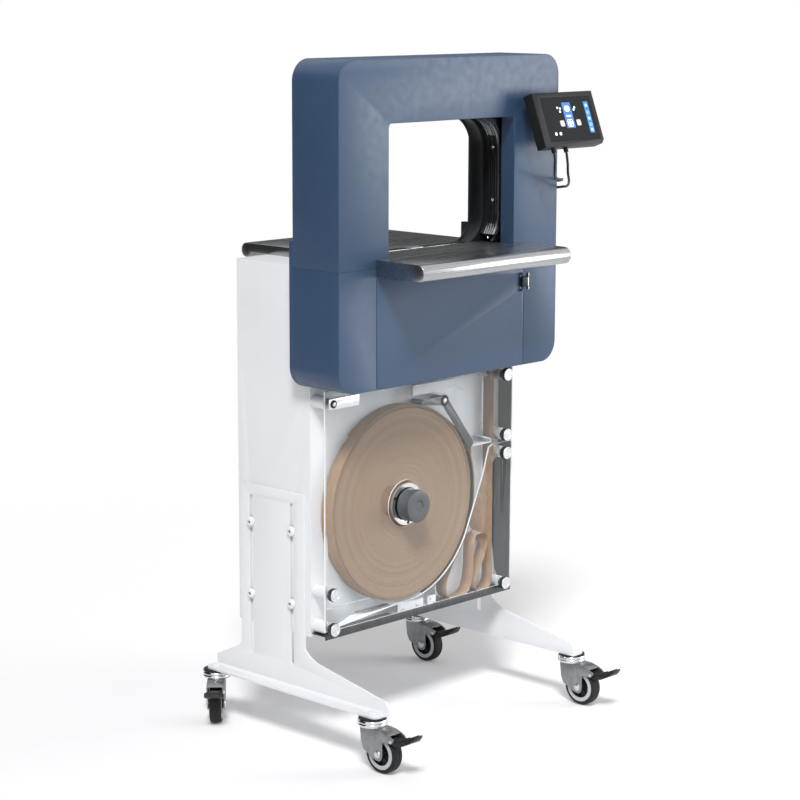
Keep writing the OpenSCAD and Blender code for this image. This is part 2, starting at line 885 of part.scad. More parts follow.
module brake_lever() {
    color(dark_steel) placed() difference() {
        union() {
            xz_slab(lever_y0, lever_y1) polygon(arm_outline([pivot_x, pivot_z], [tip_x, tip_z],
                arm_half, arm_half));
            xz_slab(lever_y0, lever_y1) polygon(arm_outline([pivot_x, pivot_z], [pad_x, pad_z],
                arm_half, pad_r));
            y_rod(tip_x, tip_z, lever_y0, lever_y1, arm_half);
            y_rod(tip_x, tip_z, lever_y0, band_y1, tip_r);
            y_rod(pad_x, pad_z, lever_y0, band_y1, pad_r);
            y_rod(pivot_x, pivot_z, lever_y0, band_y1, lever_hub_r);
        }
        y_rod(pivot_x, pivot_z, lever_y0 - over, band_y1 + over, pivot_stud_r + run_gap);
    }
}

bracket_y0 = 84;
bracket_t = 2;
top_bracket_rise = 455;
top_bracket_z = column_base + top_bracket_rise;
top_bracket_x0 = -20;
top_bracket_x1 = 98;
top_bracket_side = 18;
top_bracket_step_x = 83;
top_bracket_step = 36;
top_bracket_mid_x = 44;
top_bracket_mid = 20;
top_outline = [[top_bracket_x0, top_bracket_z], [top_bracket_x0, top_bracket_z - top_bracket_mid],
    [top_bracket_mid_x, top_bracket_z - top_bracket_mid],
    [top_bracket_step_x, top_bracket_z - top_bracket_step],
    [top_bracket_x1 - bracket_t, top_bracket_z - top_bracket_side - top_bracket_side / 2],
    [top_bracket_x1, top_bracket_z - top_bracket_side], [top_bracket_x1, top_bracket_z]];
rod_r = 1.5;
rod_drop = 13;
rod_l = 28;
rod_fall_angle = 23;
shelf_x0 = 150;
shelf_x1 = 206;
shelf_rise = 312;
shelf_z = column_base + shelf_rise;
shelf_lip_x = 186;
shelf_lip_rise = 15;
shelf_lip_end = 8;
shelf_outline = [[shelf_x0, shelf_z], [shelf_x1, shelf_z], [shelf_x1, shelf_z + shelf_lip_end],
    [shelf_lip_x, shelf_z + shelf_lip_rise], [shelf_lip_x, shelf_z + shelf_lip_rise - bracket_t],
    [shelf_x1 - bracket_t, shelf_z + shelf_lip_end - bracket_t],
    [shelf_x1 - bracket_t, shelf_z + bracket_t], [shelf_x0, shelf_z + bracket_t]];
low_bracket_h = 22;
low_brackets = [[-60, 11], [24, 47]];

module band_brackets() {
    color(white_grey) placed() {
        y_rod(pivot_x, pivot_z, lever_y0, column_front, pivot_stud_r);
        xz_slab(bracket_y0, bracket_y0 + bracket_t) polygon(top_outline);
        block(top_bracket_x0, top_bracket_x1, bracket_y0, column_front, top_bracket_z - bracket_t,
            top_bracket_z);
        translate([top_bracket_x1 - bracket_t, bracket_y0 + bracket_t / 2, top_bracket_z - rod_drop])
            rotate([0, 90 + rod_fall_angle, 0]) cylinder(h = rod_l, r = rod_r);
        xz_slab(bracket_y0, column_front) polygon(shelf_outline);
        for (b = low_brackets) {
            block(b[0], b[1], bracket_y0, bracket_y0 + bracket_t, tray_z, tray_z + low_bracket_h);
            block(b[0], b[1], bracket_y0, column_front, tray_z, tray_z + bracket_t);
        }
    }
}

// Single band from the roll over the lever's roller and through two loops up to the rollers
band_off = band_t / 2 + soft_gap;
leave_r = roll_r + band_off;
turn_r = tip_r + band_off;
roll_to_tip = [tip_x - reel_x, tip_z - reel_z];
leave_angle = atan2(roll_to_tip[1], roll_to_tip[0]) + acos((leave_r - turn_r) / norm(roll_to_tip));
band_wall_gap = 2.2;
band_wall_r = pool_wall_r + wall_t + band_wall_gap;
wall_join_angle = 18;
wall_leave_angle = -37;
// Loops, as shares of the pool's width and of the loops' height above the tray
pool_x0 = 77;
loop_w = strand_x - pool_x0;
loop_h = 121;
loop_base = 1;
loop_shares = [[0.19, 0.68], [0.08, 0.47], [0, 0.29], [0.015, 0.125], [0.095, 0.025], [0.23, 0],
    [0.38, 0.02], [0.49, 0.09], [0.555, 0.24], [0.578, 0.45], [0.585, 0.65], [0.593, 0.82],
    [0.622, 0.93], [0.704, 0.99], [0.822, 0.99], [0.911, 0.92], [0.918, 0.8], [0.852, 0.64],
    [0.748, 0.44], [0.674, 0.29], [0.637, 0.16], [0.667, 0.06], [0.748, 0.01], [0.852, 0.01],
    [0.941, 0.06], [0.99, 0.16], [1, 0.33]];
strand_end = 55;
turn_steps = 5;
wall_steps = 10;
curve_steps = 3;
function arc_points(x, z, r, from, to, steps) =
    [for (i = [0:steps]) let(a = from + (to - from) * i / steps) [x + r * cos(a), z + r * sin(a)]];
band_route = concat([wind_point(leave_angle, leave_r)],
    arc_points(tip_x, tip_z, turn_r, leave_angle, 0, turn_steps),
    arc_points(reel_x, reel_z, band_wall_r, wall_join_angle, wall_leave_angle, wall_steps),
    [for (p = loop_shares) [pool_x0 + p[0] * loop_w, tray_z + loop_base + p[1] * loop_h]],
    [[strand_x, (tray_z + roller_z) / 2], [strand_x, roller_z + strand_end]]);

// Curve through four points, at a share of the way from the second to the third
function blend_point(a, b, c, d, t) =
    (2 * b + (c - a) * t + (2 * a - 5 * b + 4 * c - d) * t * t + (3 * b - a - 3 * c + d) * t * t * t) / 2;
loop_from = turn_steps + wall_steps + 1;
strand_point_count = 5;
loop_to = len(band_route) - strand_point_count;
band_line = [for (i = [0:len(band_route) - 1])
    each (i < loop_from || i > loop_to) ? [band_route[i]]
        : [for (k = [0:curve_steps - 1]) blend_point(band_route[i - 1], band_route[i],
            band_route[i + 1], band_route[i + 2], k / curve_steps)]];
band_last = len(band_line) - 1;
function band_normal(i) =
    let(d = band_line[min(i + 1, band_last)] - band_line[max(i - 1, 0)]) [-d[1], d[0]] / norm(d);

module band_web() {
    color(kraft) placed() xz_slab(band_y0, band_y1) polygon(concat(
        [for (i = [0:band_last]) band_line[i] + band_normal(i) * band_t / 2],
        [for (i = [band_last:-1:0]) band_line[i] - band_normal(i) * band_t / 2]));
}

// Clear covers, split along the roll's lower edge and the shelf
cover_x0 = -260;
cover_x1 = 262;
cover_drop = 6;
cover_top = housing_base - cover_drop;
pool_cover_low = column_base + lip_rise + slide_gap + soft_gap;
split_r = 194;
split_gap = 1.5;
split_leave_angle = -27;
split_knee_x = 222;
split_knee_rise = 22;
split_top_x = 239;
split_top_drop = 5;
split_shelf_in = 12;
split_over_knob = 21;
split_shelf_rise = pool_top_rise + split_over_knob - reel_rise;
split_left_drop = 168;
hub_hole_gap = 5;
stud_hole_gap = 0.3;

// Slab with the reel cover's outline, its lower edge moved outwards by g and its other sides by e
module upper_region(g, e) {
    y_rod(reel_x, reel_z, cover_y0 - e, cover_y1 + e, split_r + g);
    block(cover_x0 - e, reel_x, cover_y0 - e, cover_y1 + e, reel_z - split_left_drop - g, cover_top);
    xz_slab(cover_y0 - e, cover_y1 + e) polygon([[reel_x - over, reel_z],
        wind_point(split_leave_angle, split_r + g), [reel_x + split_knee_x + g, reel_z + split_knee_rise],
        [reel_x + split_top_x + g, reel_z + split_shelf_rise - split_top_drop - g],
        [reel_x + split_top_x + split_shelf_in + g, reel_z + split_shelf_rise - g],
        [cover_x1 + e, reel_z + split_shelf_rise - g], [cover_x1 + e, cover_top],
        [reel_x - over, cover_top]]);
}

module stud_holes(places) {
    for (p = places) y_rod(p[0], p[1], cover_y0 - over, cover_y1 + over, stud_r + stud_hole_gap);
}

module reel_cover() {
    color(clear_tint) placed() difference() {
        upper_region(0, 0);
        y_rod(reel_x, reel_z, cover_y0 - over, cover_y1 + over, hub_ring_r + hub_hole_gap);
        stud_holes(reel_fasteners);
        stud_holes([latch_place]);
    }
}

module pool_cover() {
    color(clear_tint) placed() difference() {
        block(cover_x0, cover_x1, cover_y0, cover_y1, pool_cover_low,
            reel_z + split_shelf_rise - split_gap);
        upper_region(split_gap, over);
        stud_holes(pool_fasteners);
    }
}

module cover_knob(p) {
    difference() {
        union() {
            y_rod(p[0], p[1], cover_knob_y0, cover_knob_y1, cover_knob_r);
            y_rod(p[0], p[1], cover_knob_y0, cover_y0, cover_collar_r);
        }
        y_rod(p[0], p[1], stud_front - over, cover_y0 + over, stud_r + run_gap);
    }
}

module reel_cover_knobs() {
    color(steel) placed() for (p = reel_fasteners) cover_knob(p);
}

module pool_cover_knobs() {
    color(steel) placed() for (p = pool_fasteners) cover_knob(p);
}

module cover_standoffs() {
    color(white_grey) placed() for (p = concat(reel_fasteners, pool_fasteners, [latch_place])) {
        y_rod(p[0], p[1], cover_y1 + soft_gap, column_front, standoff_r);
        y_rod(p[0], p[1], stud_front, cover_y1 + over, stud_r);
    }
}

latch_tail = 12;
latch_reach = 67;
latch_half = 10;
latch_lever_y0 = 65;

module cover_latch() {
    color(steel) placed() difference() {
        union() {
            block(latch_x - latch_tail, latch_x + latch_reach, latch_lever_y0, cover_knob_y1,
                latch_place[1] - latch_half, latch_place[1] + latch_half);
            y_rod(latch_x, latch_place[1], cover_knob_y1 - over, cover_y0 - slide_gap, latch_half);
        }
        y_rod(latch_x, latch_place[1], latch_lever_y0 - over, cover_y0 + over, stud_r + run_gap);
    }
}

// Foot bolts and feet
bolt_head_r = 10;
bolt_head_t = 6;
bolt_dome_r = 6.5;
bolt_in = 12;
hex_r = 3;
hex_d = 3;

module foot_bolts() {
    color(white_grey) placed() for (s = [0, 1], y = [slot_y0, slot_y1], z = [bolt_low_z, bolt_high_z])
        mirror([s, 0, 0]) difference() {
            union() {
                x_rod(y, z, column_x - bolt_in, foot_out_x + slide_gap + over, bolt_r);
                x_rod(y, z, foot_out_x + slide_gap, foot_out_x + slide_gap + bolt_head_t / 2, bolt_head_r);
                translate([foot_out_x + slide_gap + bolt_head_t / 2, y, z]) rotate([0, 90, 0])
                    cylinder(h = bolt_head_t / 2, r1 = bolt_head_r, r2 = bolt_dome_r);
            }
            translate([foot_out_x + slide_gap + bolt_head_t - hex_d, y, z]) rotate([0, 90, 0])
                cylinder(h = hex_d + over, r = hex_r, $fn = 6);
        }
}

foot_front = -92;
foot_l = 467;
foot_h = 380;
// Side outline of a foot, as shares of its length and height
foot_shares = [[0, 0], [0, 0.045], [0.013, 0.068], [0.4, 0.16], [0.441, 0.184], [0.469, 0.213],
    [0.469, 1], [0.846, 1], [0.846, 0.163], [0.865, 0.137], [1, 0.06], [1, 0]];
foot_tip_r = 14;

module foot() {
    difference() {
        union() {
            yz_slab(foot_in_x, foot_out_x) polygon([for (p = foot_shares)
                [foot_front + p[0] * foot_l, caster_h + p[1] * foot_h]]);
            block(foot_in_x, flange_x - foot_tip_r, foot_front, foot_front + foot_l, caster_h,
                caster_h + flange_t);
            block(flange_x - foot_tip_r - over, flange_x, foot_front + foot_tip_r,
                foot_front + foot_l - foot_tip_r, caster_h, caster_h + flange_t);
            for (y = [foot_front + foot_tip_r, foot_front + foot_l - foot_tip_r])
                z_rod(flange_x - foot_tip_r, y, caster_h, caster_h + flange_t, foot_tip_r);
        }
        for (y = [slot_y0, slot_y1]) {
            block(foot_in_x - over, foot_out_x + over, y - slot_w / 2, y + slot_w / 2,
                slot_low + slot_w / 2, slot_high - slot_w / 2);
            for (z = [slot_low + slot_w / 2, slot_high - slot_w / 2])
                x_rod(y, z, foot_in_x - over, foot_out_x + over, slot_w / 2);
        }
        for (y = [caster_front_y, caster_rear_y])
            z_rod(caster_x, y, caster_h - over, caster_h + flange_t + over, caster_stem_r + run_gap);
    }
}

module left_foot() {
    color(white_grey) placed() mirror([1, 0, 0]) foot();
}

module right_foot() {
    color(white_grey) placed() foot();
}

// Casters, each in a frame whose origin lies on its swivel axis at the floor
front_left = [-caster_x, caster_front_y, 0];
front_right = [caster_x, caster_front_y, 0];
rear_left = [-caster_x, caster_rear_y, 0];
rear_right = [caster_x, caster_rear_y, 0];
race_r = 28;
race_h = 13;
race_seal_r = 26;
race_seal_h = 2.7;
fork_top = caster_h - soft_gap - race_seal_h - race_h;
fork_gap = 2.5;
fork_in_x = tyre_w / 2 + fork_gap;
fork_t = 2.5;
fork_out_x = fork_in_x + fork_t;
axle_head_r = 7;
axle_head_t = 3;
stem_short = 0.5;
pedal_pin_y = -62;
pedal_pin_z = 69;
pedal_pin_r = 2.5;
pedal_gap = 0.6;
pedal_wide = 19;
pedal_root = 74;
pedal_flare = 26;
// Side outline of a fork plate, as shares of the caster's height
fork_shares = [[0.16, 0.8], [0.13, 0.53], [0.07, 0.4], [-0.18, 0.28], [-0.3, 0.255], [-0.39, 0.3],
    [-0.41, 0.38], [-0.405, 0.6], [-0.43, 0.635], [-0.63, 0.645], [-0.69, 0.7], [-0.68, 0.745],
    [-0.44, 0.83], [-0.32, 0.84], [0.16, 0.84]];
// Outline of the fork's bridge over the wheel
bridge_shares = [[0.16, 0.79], [-0.32, 0.79], [-0.44, 0.785], [-0.55, 0.755], [-0.57, 0.785],
    [-0.44, 0.83], [-0.32, 0.84], [0.16, 0.84]];
// Side outline of the pedal
pedal_shares = [[-0.6, 0.735], [-0.575, 0.67], [-0.61, 0.625], [-0.7, 0.605], [-0.88, 0.65],
    [-1.04, 0.73], [-1.17, 0.85], [-1.15, 0.885], [-1.01, 0.795], [-0.86, 0.735], [-0.7, 0.725]];

module caster_at(place, turn) {
    placed() translate(place) rotate([0, 0, turn]) children();
}

module share_outline(shares) {
    polygon([for (p = shares) p * caster_h]);
}

module caster_fork(place, turn) {
    color(steel) caster_at(place, turn) difference() {
        union() {
            z_rod(0, 0, fork_top, caster_h + flange_t - stem_short, caster_stem_r);
            z_rod(0, 0, fork_top, fork_top + race_h, race_r);
            z_rod(0, 0, fork_top, caster_h - soft_gap, race_seal_r);
            for (s = [0, 1]) mirror([s, 0, 0]) {
                yz_slab(fork_in_x, fork_out_x) share_outline(fork_shares);
                x_rod(-caster_trail, wheel_r, fork_out_x - over, fork_out_x + axle_head_t, axle_head_r);
            }
            yz_slab(-fork_out_x, fork_out_x) share_outline(bridge_shares);
            x_rod(-caster_trail, wheel_r, -fork_out_x, fork_out_x, axle_r);
        }
        x_rod(pedal_pin_y, pedal_pin_z, -fork_out_x - over, fork_out_x + over, pedal_pin_r + run_gap);
    }
}

rim_r = 27;
rim_w = 21;
rim_in_r = 22;
rim_dish = 5;
hub_r = 10;
hub_gap = 0.8;
tyre_round = 4;
tyre_fit = 0.05;

module caster_wheel(place, turn) {
    caster_at(place, turn) {
        color(steel) difference() {
            union() {
                x_rod(-caster_trail, wheel_r, -rim_w / 2, rim_w / 2, rim_r);
                x_rod(-caster_trail, wheel_r, -fork_in_x + hub_gap, fork_in_x - hub_gap, hub_r);
            }
            for (s = [0, 1]) mirror([s, 0, 0]) difference() {
                x_rod(-caster_trail, wheel_r, rim_w / 2 - rim_dish, rim_w / 2 + over, rim_in_r);
                x_rod(-caster_trail, wheel_r, 0, fork_in_x, hub_r);
            }
            x_rod(-caster_trail, wheel_r, -fork_in_x, fork_in_x, axle_r + run_gap);
        }
        color(black) difference() {
            union() {
                x_rod(-caster_trail, wheel_r, -tyre_w / 2 + tyre_round, tyre_w / 2 - tyre_round, wheel_r);
                for (s = [0, 1]) mirror([s, 0, 0])
                    translate([tyre_w / 2 - tyre_round, -caster_trail, wheel_r]) rotate([0, 90, 0])
                        cylinder(h = tyre_round, r1 = wheel_r, r2 = wheel_r - tyre_round);
            }
            x_rod(-caster_trail, wheel_r, -tyre_w, tyre_w, rim_r + tyre_fit);
        }
    }
}

module caster_pedal(place, turn) {
    pedal_in_x = fork_in_x - pedal_gap;
    color(black) caster_at(place, turn) {
        intersection() {
            yz_slab(-pedal_wide, pedal_wide) share_outline(pedal_shares);
            linear_extrude(height = caster_h) polygon([[-pedal_in_x, 0], [-pedal_in_x, -pedal_root],
                [-pedal_wide, -pedal_root - pedal_flare], [-pedal_tip_half, -pedal_reach],
                [pedal_tip_half, -pedal_reach], [pedal_wide, -pedal_root - pedal_flare],
                [pedal_in_x, -pedal_root], [pedal_in_x, 0]]);
        }
        x_rod(pedal_pin_y, pedal_pin_z, -fork_out_x, fork_out_x, pedal_pin_r);
    }
}

module front_left_fork() caster_fork(front_left, 0);
module front_left_wheel() caster_wheel(front_left, 0);
module front_left_pedal() caster_pedal(front_left, 0);
module front_right_fork() caster_fork(front_right, 0);
module front_right_wheel() caster_wheel(front_right, 0);
module front_right_pedal() caster_pedal(front_right, 0);
module rear_left_fork() caster_fork(rear_left, -rear_left_turn);
module rear_left_wheel() caster_wheel(rear_left, -rear_left_turn);
module rear_left_pedal() caster_pedal(rear_left, -rear_left_turn);
module rear_right_fork() caster_fork(rear_right, 0);
module rear_right_wheel() caster_wheel(rear_right, 0);
module rear_right_pedal() caster_pedal(rear_right, 0);

// Touch panel and what carries it
ear_r = 8.5;
ear_w = 8;
ear_in = 8;
ear_edge = 7;
relief_r = 4.5;
relief_l = 8;
relief_in = 6;
relief_x = [219, 255];
panel_corner = 8;

module in_panel() {
    translate([0, panel_pin_y, panel_pin_z]) rotate([-panel_lean, 0, 0]) children();
}

module touch_panel() {
    color(black) placed() in_panel() difference() {
        union() {
            xz_slab(panel_front, panel_back) polygon([[panel_x0, panel_low], [panel_x1 - panel_corner,
                panel_low], [panel_x1, panel_low + panel_corner], [panel_x1, panel_high],
                [panel_x0, panel_high]]);
            for (x = [arch_x + ear_in, panel_x1 - ear_edge - ear_w]) {
                block(x, x + ear_w, panel_back - over, 0, -ear_r, ear_r);
                x_rod(0, 0, x, x + ear_w, ear_r);
            }
            for (x = relief_x) z_rod(x, panel_back - relief_in, panel_low - relief_l, panel_low + over,
                relief_r);
        }
        block(panel_x0 + screen_left, panel_x1 - screen_edge, panel_front - over, panel_front + screen_t,
            panel_low + screen_edge, panel_high - screen_edge);
        x_rod(0, 0, arch_x, panel_x1, panel_pin_r + run_gap);
    }
}

module panel_screen() {
    color(dark_steel) placed() in_panel() block(panel_x0 + screen_left + slide_gap,
        panel_x1 - screen_edge - slide_gap, panel_front + slide_gap, panel_front + screen_t,
        panel_low + screen_edge + slide_gap, panel_high - screen_edge - slide_gap);
}

arm_t = 4;
arm_back = 40;
arm_bolt_r = 5;
arm_bolt_t = 3;
arm_bolts = [12, 30];
pin_head_r = 7;
pin_head_t = 3;

module panel_bracket() {
    color(dark_steel) placed() {
        x_rod(panel_pin_y, panel_pin_z, arch_x, arch_x + arm_t, ear_r);
        block(arch_x, arch_x + arm_t, panel_pin_y, arm_back, panel_pin_z - ear_r, panel_pin_z + ear_r);
        x_rod(panel_pin_y, panel_pin_z, arch_x, panel_x1 - ear_edge + soft_gap + over, panel_pin_r);
        x_rod(panel_pin_y, panel_pin_z, panel_x1 - ear_edge + soft_gap,
            panel_x1 - ear_edge + soft_gap + pin_head_t, pin_head_r);
        for (y = arm_bolts) x_rod(y, panel_pin_z, arch_x + arm_t - over, arch_x + arm_t + arm_bolt_t,
            arm_bolt_r);
    }
}

// Leads, as routes from the panel to the glands
lead_r = 2.5;
lead_sides = 8;
lead_routes = [[[219, -60, 1100], [219, -62, 1088], [221, -60, 1076], [227, -55, 1066],
        [235, -48, 1059], [244, -42, 1053], [255, -36, 1049], [266, -31, 1047], [277, -25, 1045],
        [288, -19, 1044], [299, -13, 1043], [309, -5, 1042], [318, 3, 1040], [322.5, 13, 1038],
        [320, 24, 1037], [311, 29.5, 1037], [303, 30, 1037]],
    [[255, -60, 1100], [255, -62, 1089], [257, -62, 1077], [261, -59, 1066], [267, -55, 1057],
        [275, -50, 1049], [283, -44, 1043], [291, -37, 1038], [299, -29, 1034], [307, -20, 1031],
        [314, -10, 1028], [319, 0, 1027], [322, 12, 1025], [321, 23, 1024], [314, 32, 1024],
        [303, 35, 1024]]];
gland_r = 7;
gland_nut_r = 8;
gland_nut_t = 1.8;
gland_taper = 1.5;
lead_ring_pitch = 2;
lead_ring_axis = [0.6, 0.64, 0.48];

function lead_at(route, i) = route[max(0, min(i, len(route) - 1))];
function lead_line(route) = concat([for (i = [0:len(route) - 2], k = [0:lead_ring_pitch - 1])
    blend_point(lead_at(route, i - 1), lead_at(route, i), lead_at(route, i + 1),
        lead_at(route, i + 2), k / lead_ring_pitch)], [route[len(route) - 1]]);
function unit(v) = v / norm(v);

module tube(line, r, sides) {
    n = len(line);
    points = [for (i = [0:n - 1])
        let(t = unit(line[min(i + 1, n - 1)] - line[max(i - 1, 0)]),
            u = unit(cross(t, lead_ring_axis)), v = cross(t, u))
        for (k = [0:sides - 1]) line[i] + r * (cos(360 * k / sides) * u + sin(360 * k / sides) * v)];
    walls = [for (i = [0:n - 2], k = [0:sides - 1])
        let(a = i * sides + k, b = i * sides + (k + 1) % sides) each
        [[a, a + sides, b + sides], [a, b + sides, b]]];
    caps = [[for (k = [0:sides - 1]) k], [for (k = [sides - 1:-1:0]) (n - 1) * sides + k]];
    polyhedron(points = points, faces = concat(walls, caps));
}

module panel_leads() {
    color(black) placed() for (route = lead_routes) tube(lead_line(route), lead_r, lead_sides);
}

module cable_glands() {
    color(black) placed() for (route = lead_routes) {
        p = route[len(route) - 1];
        x_rod(p[1], p[2], arch_x, p[0] - soft_gap - soft_gap, gland_r - gland_taper);
        x_rod(p[1], p[2], arch_x, arch_x + gland_nut_t, gland_nut_r);
    }
}

// Power inlet and its rocker switch, in the column's back cover
inlet_d = 18;
socket_x0 = -26;
socket_x1 = 2;
socket_wall = 3;
socket_d = 12;
switch_x0 = 8;
switch_x1 = 30;
switch_d = 10;
switch_pin_r = 1.5;
switch_pin_l = 1.5;
switch_pin_in = 3;
switch_proud = 3;
switch_play = 2;
inlet_back = column_back + back_cover_t;

module power_inlet() {
    color(black) placed() difference() {
        block(inlet_x0, inlet_x1, inlet_back - inlet_d, inlet_back, inlet_z0, inlet_z1);
        block(socket_x0, socket_x1, inlet_back - socket_d, inlet_back + over, inlet_z0 + socket_wall,
            inlet_z1 - socket_wall);
        block(switch_x0, switch_x1, inlet_back - switch_d, inlet_back + over, inlet_z0 + socket_wall,
            inlet_z1 - socket_wall);
        x_rod(inlet_back - switch_pin_in, (inlet_z0 + inlet_z1) / 2, switch_x0 - switch_pin_l - over,
            switch_x1 + switch_pin_l + over, switch_pin_r + run_gap);
    }
}

module power_switch() {
    half = inlet_h / 2 - socket_wall - switch_play;
    mid = (inlet_z0 + inlet_z1) / 2;
    color(dark_steel) placed() {
        yz_slab(switch_x0 + soft_gap, switch_x1 - soft_gap) polygon([
            [inlet_back - switch_pin_in - switch_pin_in, mid],
            [inlet_back - switch_pin_in, mid - half], [inlet_back, mid - half],
            [inlet_back + over, mid], [inlet_back + switch_proud, mid + half],
            [inlet_back - switch_pin_in, mid + half]]);
        x_rod(inlet_back - switch_pin_in, mid, switch_x0 - switch_pin_l, switch_x1 + switch_pin_l,
            switch_pin_r);
    }
}

column_shell();
column_back_cover();
arch_front_cover();
arch_rear_cover();
lower_housing();
lower_back_plate();
machine_frame();
front_table();
rear_table();
band_guide();
guide_strips();
guide_corner_plates();
guide_screws();
head_plates();
door_hardware();
feed_motor();
control_box();
reel_shaft();
pool_wall();
pool_tray();
band_brackets();
pool_cover();
pool_cover_knobs();
cover_standoffs();
foot_bolts();
panel_bracket();
cable_glands();
panel_leads();
band_web();
power_inlet();
power_switch();
left_foot();
right_foot();
front_left_fork();
front_left_wheel();
front_left_pedal();
front_right_fork();
front_right_wheel();
front_right_pedal();
rear_left_fork();
rear_left_wheel();
rear_left_pedal();
rear_right_fork();
rear_right_wheel();
rear_right_pedal();
front_door();
door_latch();
reel_hub();
band_roll();
lock_knob();
reel_cover();
reel_cover_knobs();
cover_latch();
brake_lever();
drive_roller();
pressure_roller();
seal_cam();
sealing_horn();
touch_panel();
panel_screen();
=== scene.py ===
# Band strapping machine: finishes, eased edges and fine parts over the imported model.
# Lengths in the builders below are millimetres from the machine's own centre, arch front and floor.
import bmesh
import bpy
import json
import random
from math import acos, atan2, cos, pi, radians, sin
from mathutils import Matrix, Vector


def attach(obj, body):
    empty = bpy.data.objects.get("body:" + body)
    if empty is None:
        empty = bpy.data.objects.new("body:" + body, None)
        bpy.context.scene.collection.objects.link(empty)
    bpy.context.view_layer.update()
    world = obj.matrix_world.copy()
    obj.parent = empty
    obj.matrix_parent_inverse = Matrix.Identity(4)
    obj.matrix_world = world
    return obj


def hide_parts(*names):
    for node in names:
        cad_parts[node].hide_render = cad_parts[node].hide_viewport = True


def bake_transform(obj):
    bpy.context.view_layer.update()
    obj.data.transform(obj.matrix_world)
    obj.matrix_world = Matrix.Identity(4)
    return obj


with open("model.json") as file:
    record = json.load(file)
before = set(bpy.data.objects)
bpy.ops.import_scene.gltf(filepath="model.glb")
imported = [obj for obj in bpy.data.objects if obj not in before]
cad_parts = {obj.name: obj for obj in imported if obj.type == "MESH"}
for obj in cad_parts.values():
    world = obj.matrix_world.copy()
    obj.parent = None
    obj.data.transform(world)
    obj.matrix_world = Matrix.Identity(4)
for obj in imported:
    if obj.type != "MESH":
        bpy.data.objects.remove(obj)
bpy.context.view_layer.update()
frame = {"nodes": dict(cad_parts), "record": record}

# From the source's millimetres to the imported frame's metres and origin
to_frame = Matrix.Scale(0.001, 4) @ Matrix.Translation((8.50128, -100.5, 0))
body_of = {node: body for body, nodes in frame["record"]["behaviour"]["bodies"].items()
           for node in nodes}

# Places and sizes that several pieces share
TABLE_TOP = 926
REEL = (-46, 0, 436)
ROLL_R = 191.5
BAND_FRONT, BAND_BACK, BAND_T = 83.6, 111.2, 0.8
LEVER_PIVOT = (66, 622)
LATCH_PIVOT = (-250, 658)
WHEEL = (0, -30, 37.5)
FORWARD, BACKWARD = (0, -1, 0), (0, 1, 0)


def place_camera():
    """Long lens from the left of the arch, a little above the tables."""
    lens = bpy.data.cameras.new("studio_camera")
    lens.sensor_fit, lens.sensor_width, lens.lens = "HORIZONTAL", 36, 103.27415
    lens.clip_end = 60
    camera = bpy.data.objects.new("studio_camera", lens)
    bpy.context.scene.collection.objects.link(camera)
    across = Vector((0.69391883, -0.72004608, 0.00320832))
    up = Vector((0.12734532, 0.12710753, 0.98368026))
    camera.matrix_world = (Matrix.Translation((-3.14312023, -2.99790752, 1.42442515))
                           @ Matrix((across, up, across.cross(up))).transposed().to_4x4())
    bpy.context.scene.camera = camera
    bpy.context.scene.view_settings.view_transform = "Standard"


# Finishes

def new_finish(name, colour, roughness, metallic=0.0, **sockets):
    """A named finish. Its shader's plain values are set on the shader's own sockets."""
    finish = bpy.data.materials.new(name)
    finish.use_nodes = True
    shader = finish.node_tree.nodes["Principled BSDF"]
    shader.inputs["Base Color"].default_value = (*colour, 1)
    shader.inputs["Roughness"].default_value = roughness
    shader.inputs["Metallic"].default_value = metallic
    for socket, value in sockets.items():
        shader.inputs[socket.replace("_", " ")].default_value = value
    return finish


def grain(finish, scale, detail=4.0, stretch=(1, 1, 1)):
    """Noise on the object's own coordinates, drawn out by stretch."""
    tree = finish.node_tree
    place = tree.nodes.new("ShaderNodeTexCoord")
    mapping = tree.nodes.new("ShaderNodeMapping")
    mapping.inputs["Scale"].default_value = stretch
    noise = tree.nodes.new("ShaderNodeTexNoise")
    noise.inputs["Scale"].default_value = scale
    noise.inputs["Detail"].default_value = detail
    tree.links.new(place.outputs["Object"], mapping.inputs["Vector"])
    tree.links.new(mapping.outputs["Vector"], noise.inputs["Vector"])
    return noise.outputs["Fac"]


def spread(finish, value, low, high):
    """Maps the middle of a noise onto low to high."""
    ramp = finish.node_tree.nodes.new("ShaderNodeMapRange")
    ramp.inputs["From Min"].default_value = 0.3
    ramp.inputs["From Max"].default_value = 0.7
    ramp.inputs["To Min"].default_value = low
    ramp.inputs["To Max"].default_value = high
    finish.node_tree.links.new(value, ramp.inputs["Value"])
    return ramp.outputs["Result"]


def shade(finish, value, dark, light):
    """Base colour from dark to light as the value goes from 0 to 1."""
    tree = finish.node_tree
    mix = tree.nodes.new("ShaderNodeMix")
    mix.data_type = "RGBA"
    mix.inputs[6].default_value = (*dark, 1)
    mix.inputs[7].default_value = (*light, 1)
    tree.links.new(spread(finish, value, 0, 1), mix.inputs[0])
    tree.links.new(mix.outputs[2], tree.nodes["Principled BSDF"].inputs["Base Color"])


def polish(finish, value, low, high):
    """Roughness from low to high with the value."""
    tree = finish.node_tree
    shader = tree.nodes["Principled BSDF"]
    tree.links.new(spread(finish, value, low, high), shader.inputs["Roughness"])


def relief(finish, value, strength, depth):
    """Small bumps, depth metres high."""
    tree = finish.node_tree
    bump = tree.nodes.new("ShaderNodeBump")
    bump.inputs["Strength"].default_value = strength
    bump.inputs["Distance"].default_value = depth
    tree.links.new(value, bump.inputs["Height"])
    tree.links.new(bump.outputs["Normal"], tree.nodes["Principled BSDF"].inputs["Normal"])


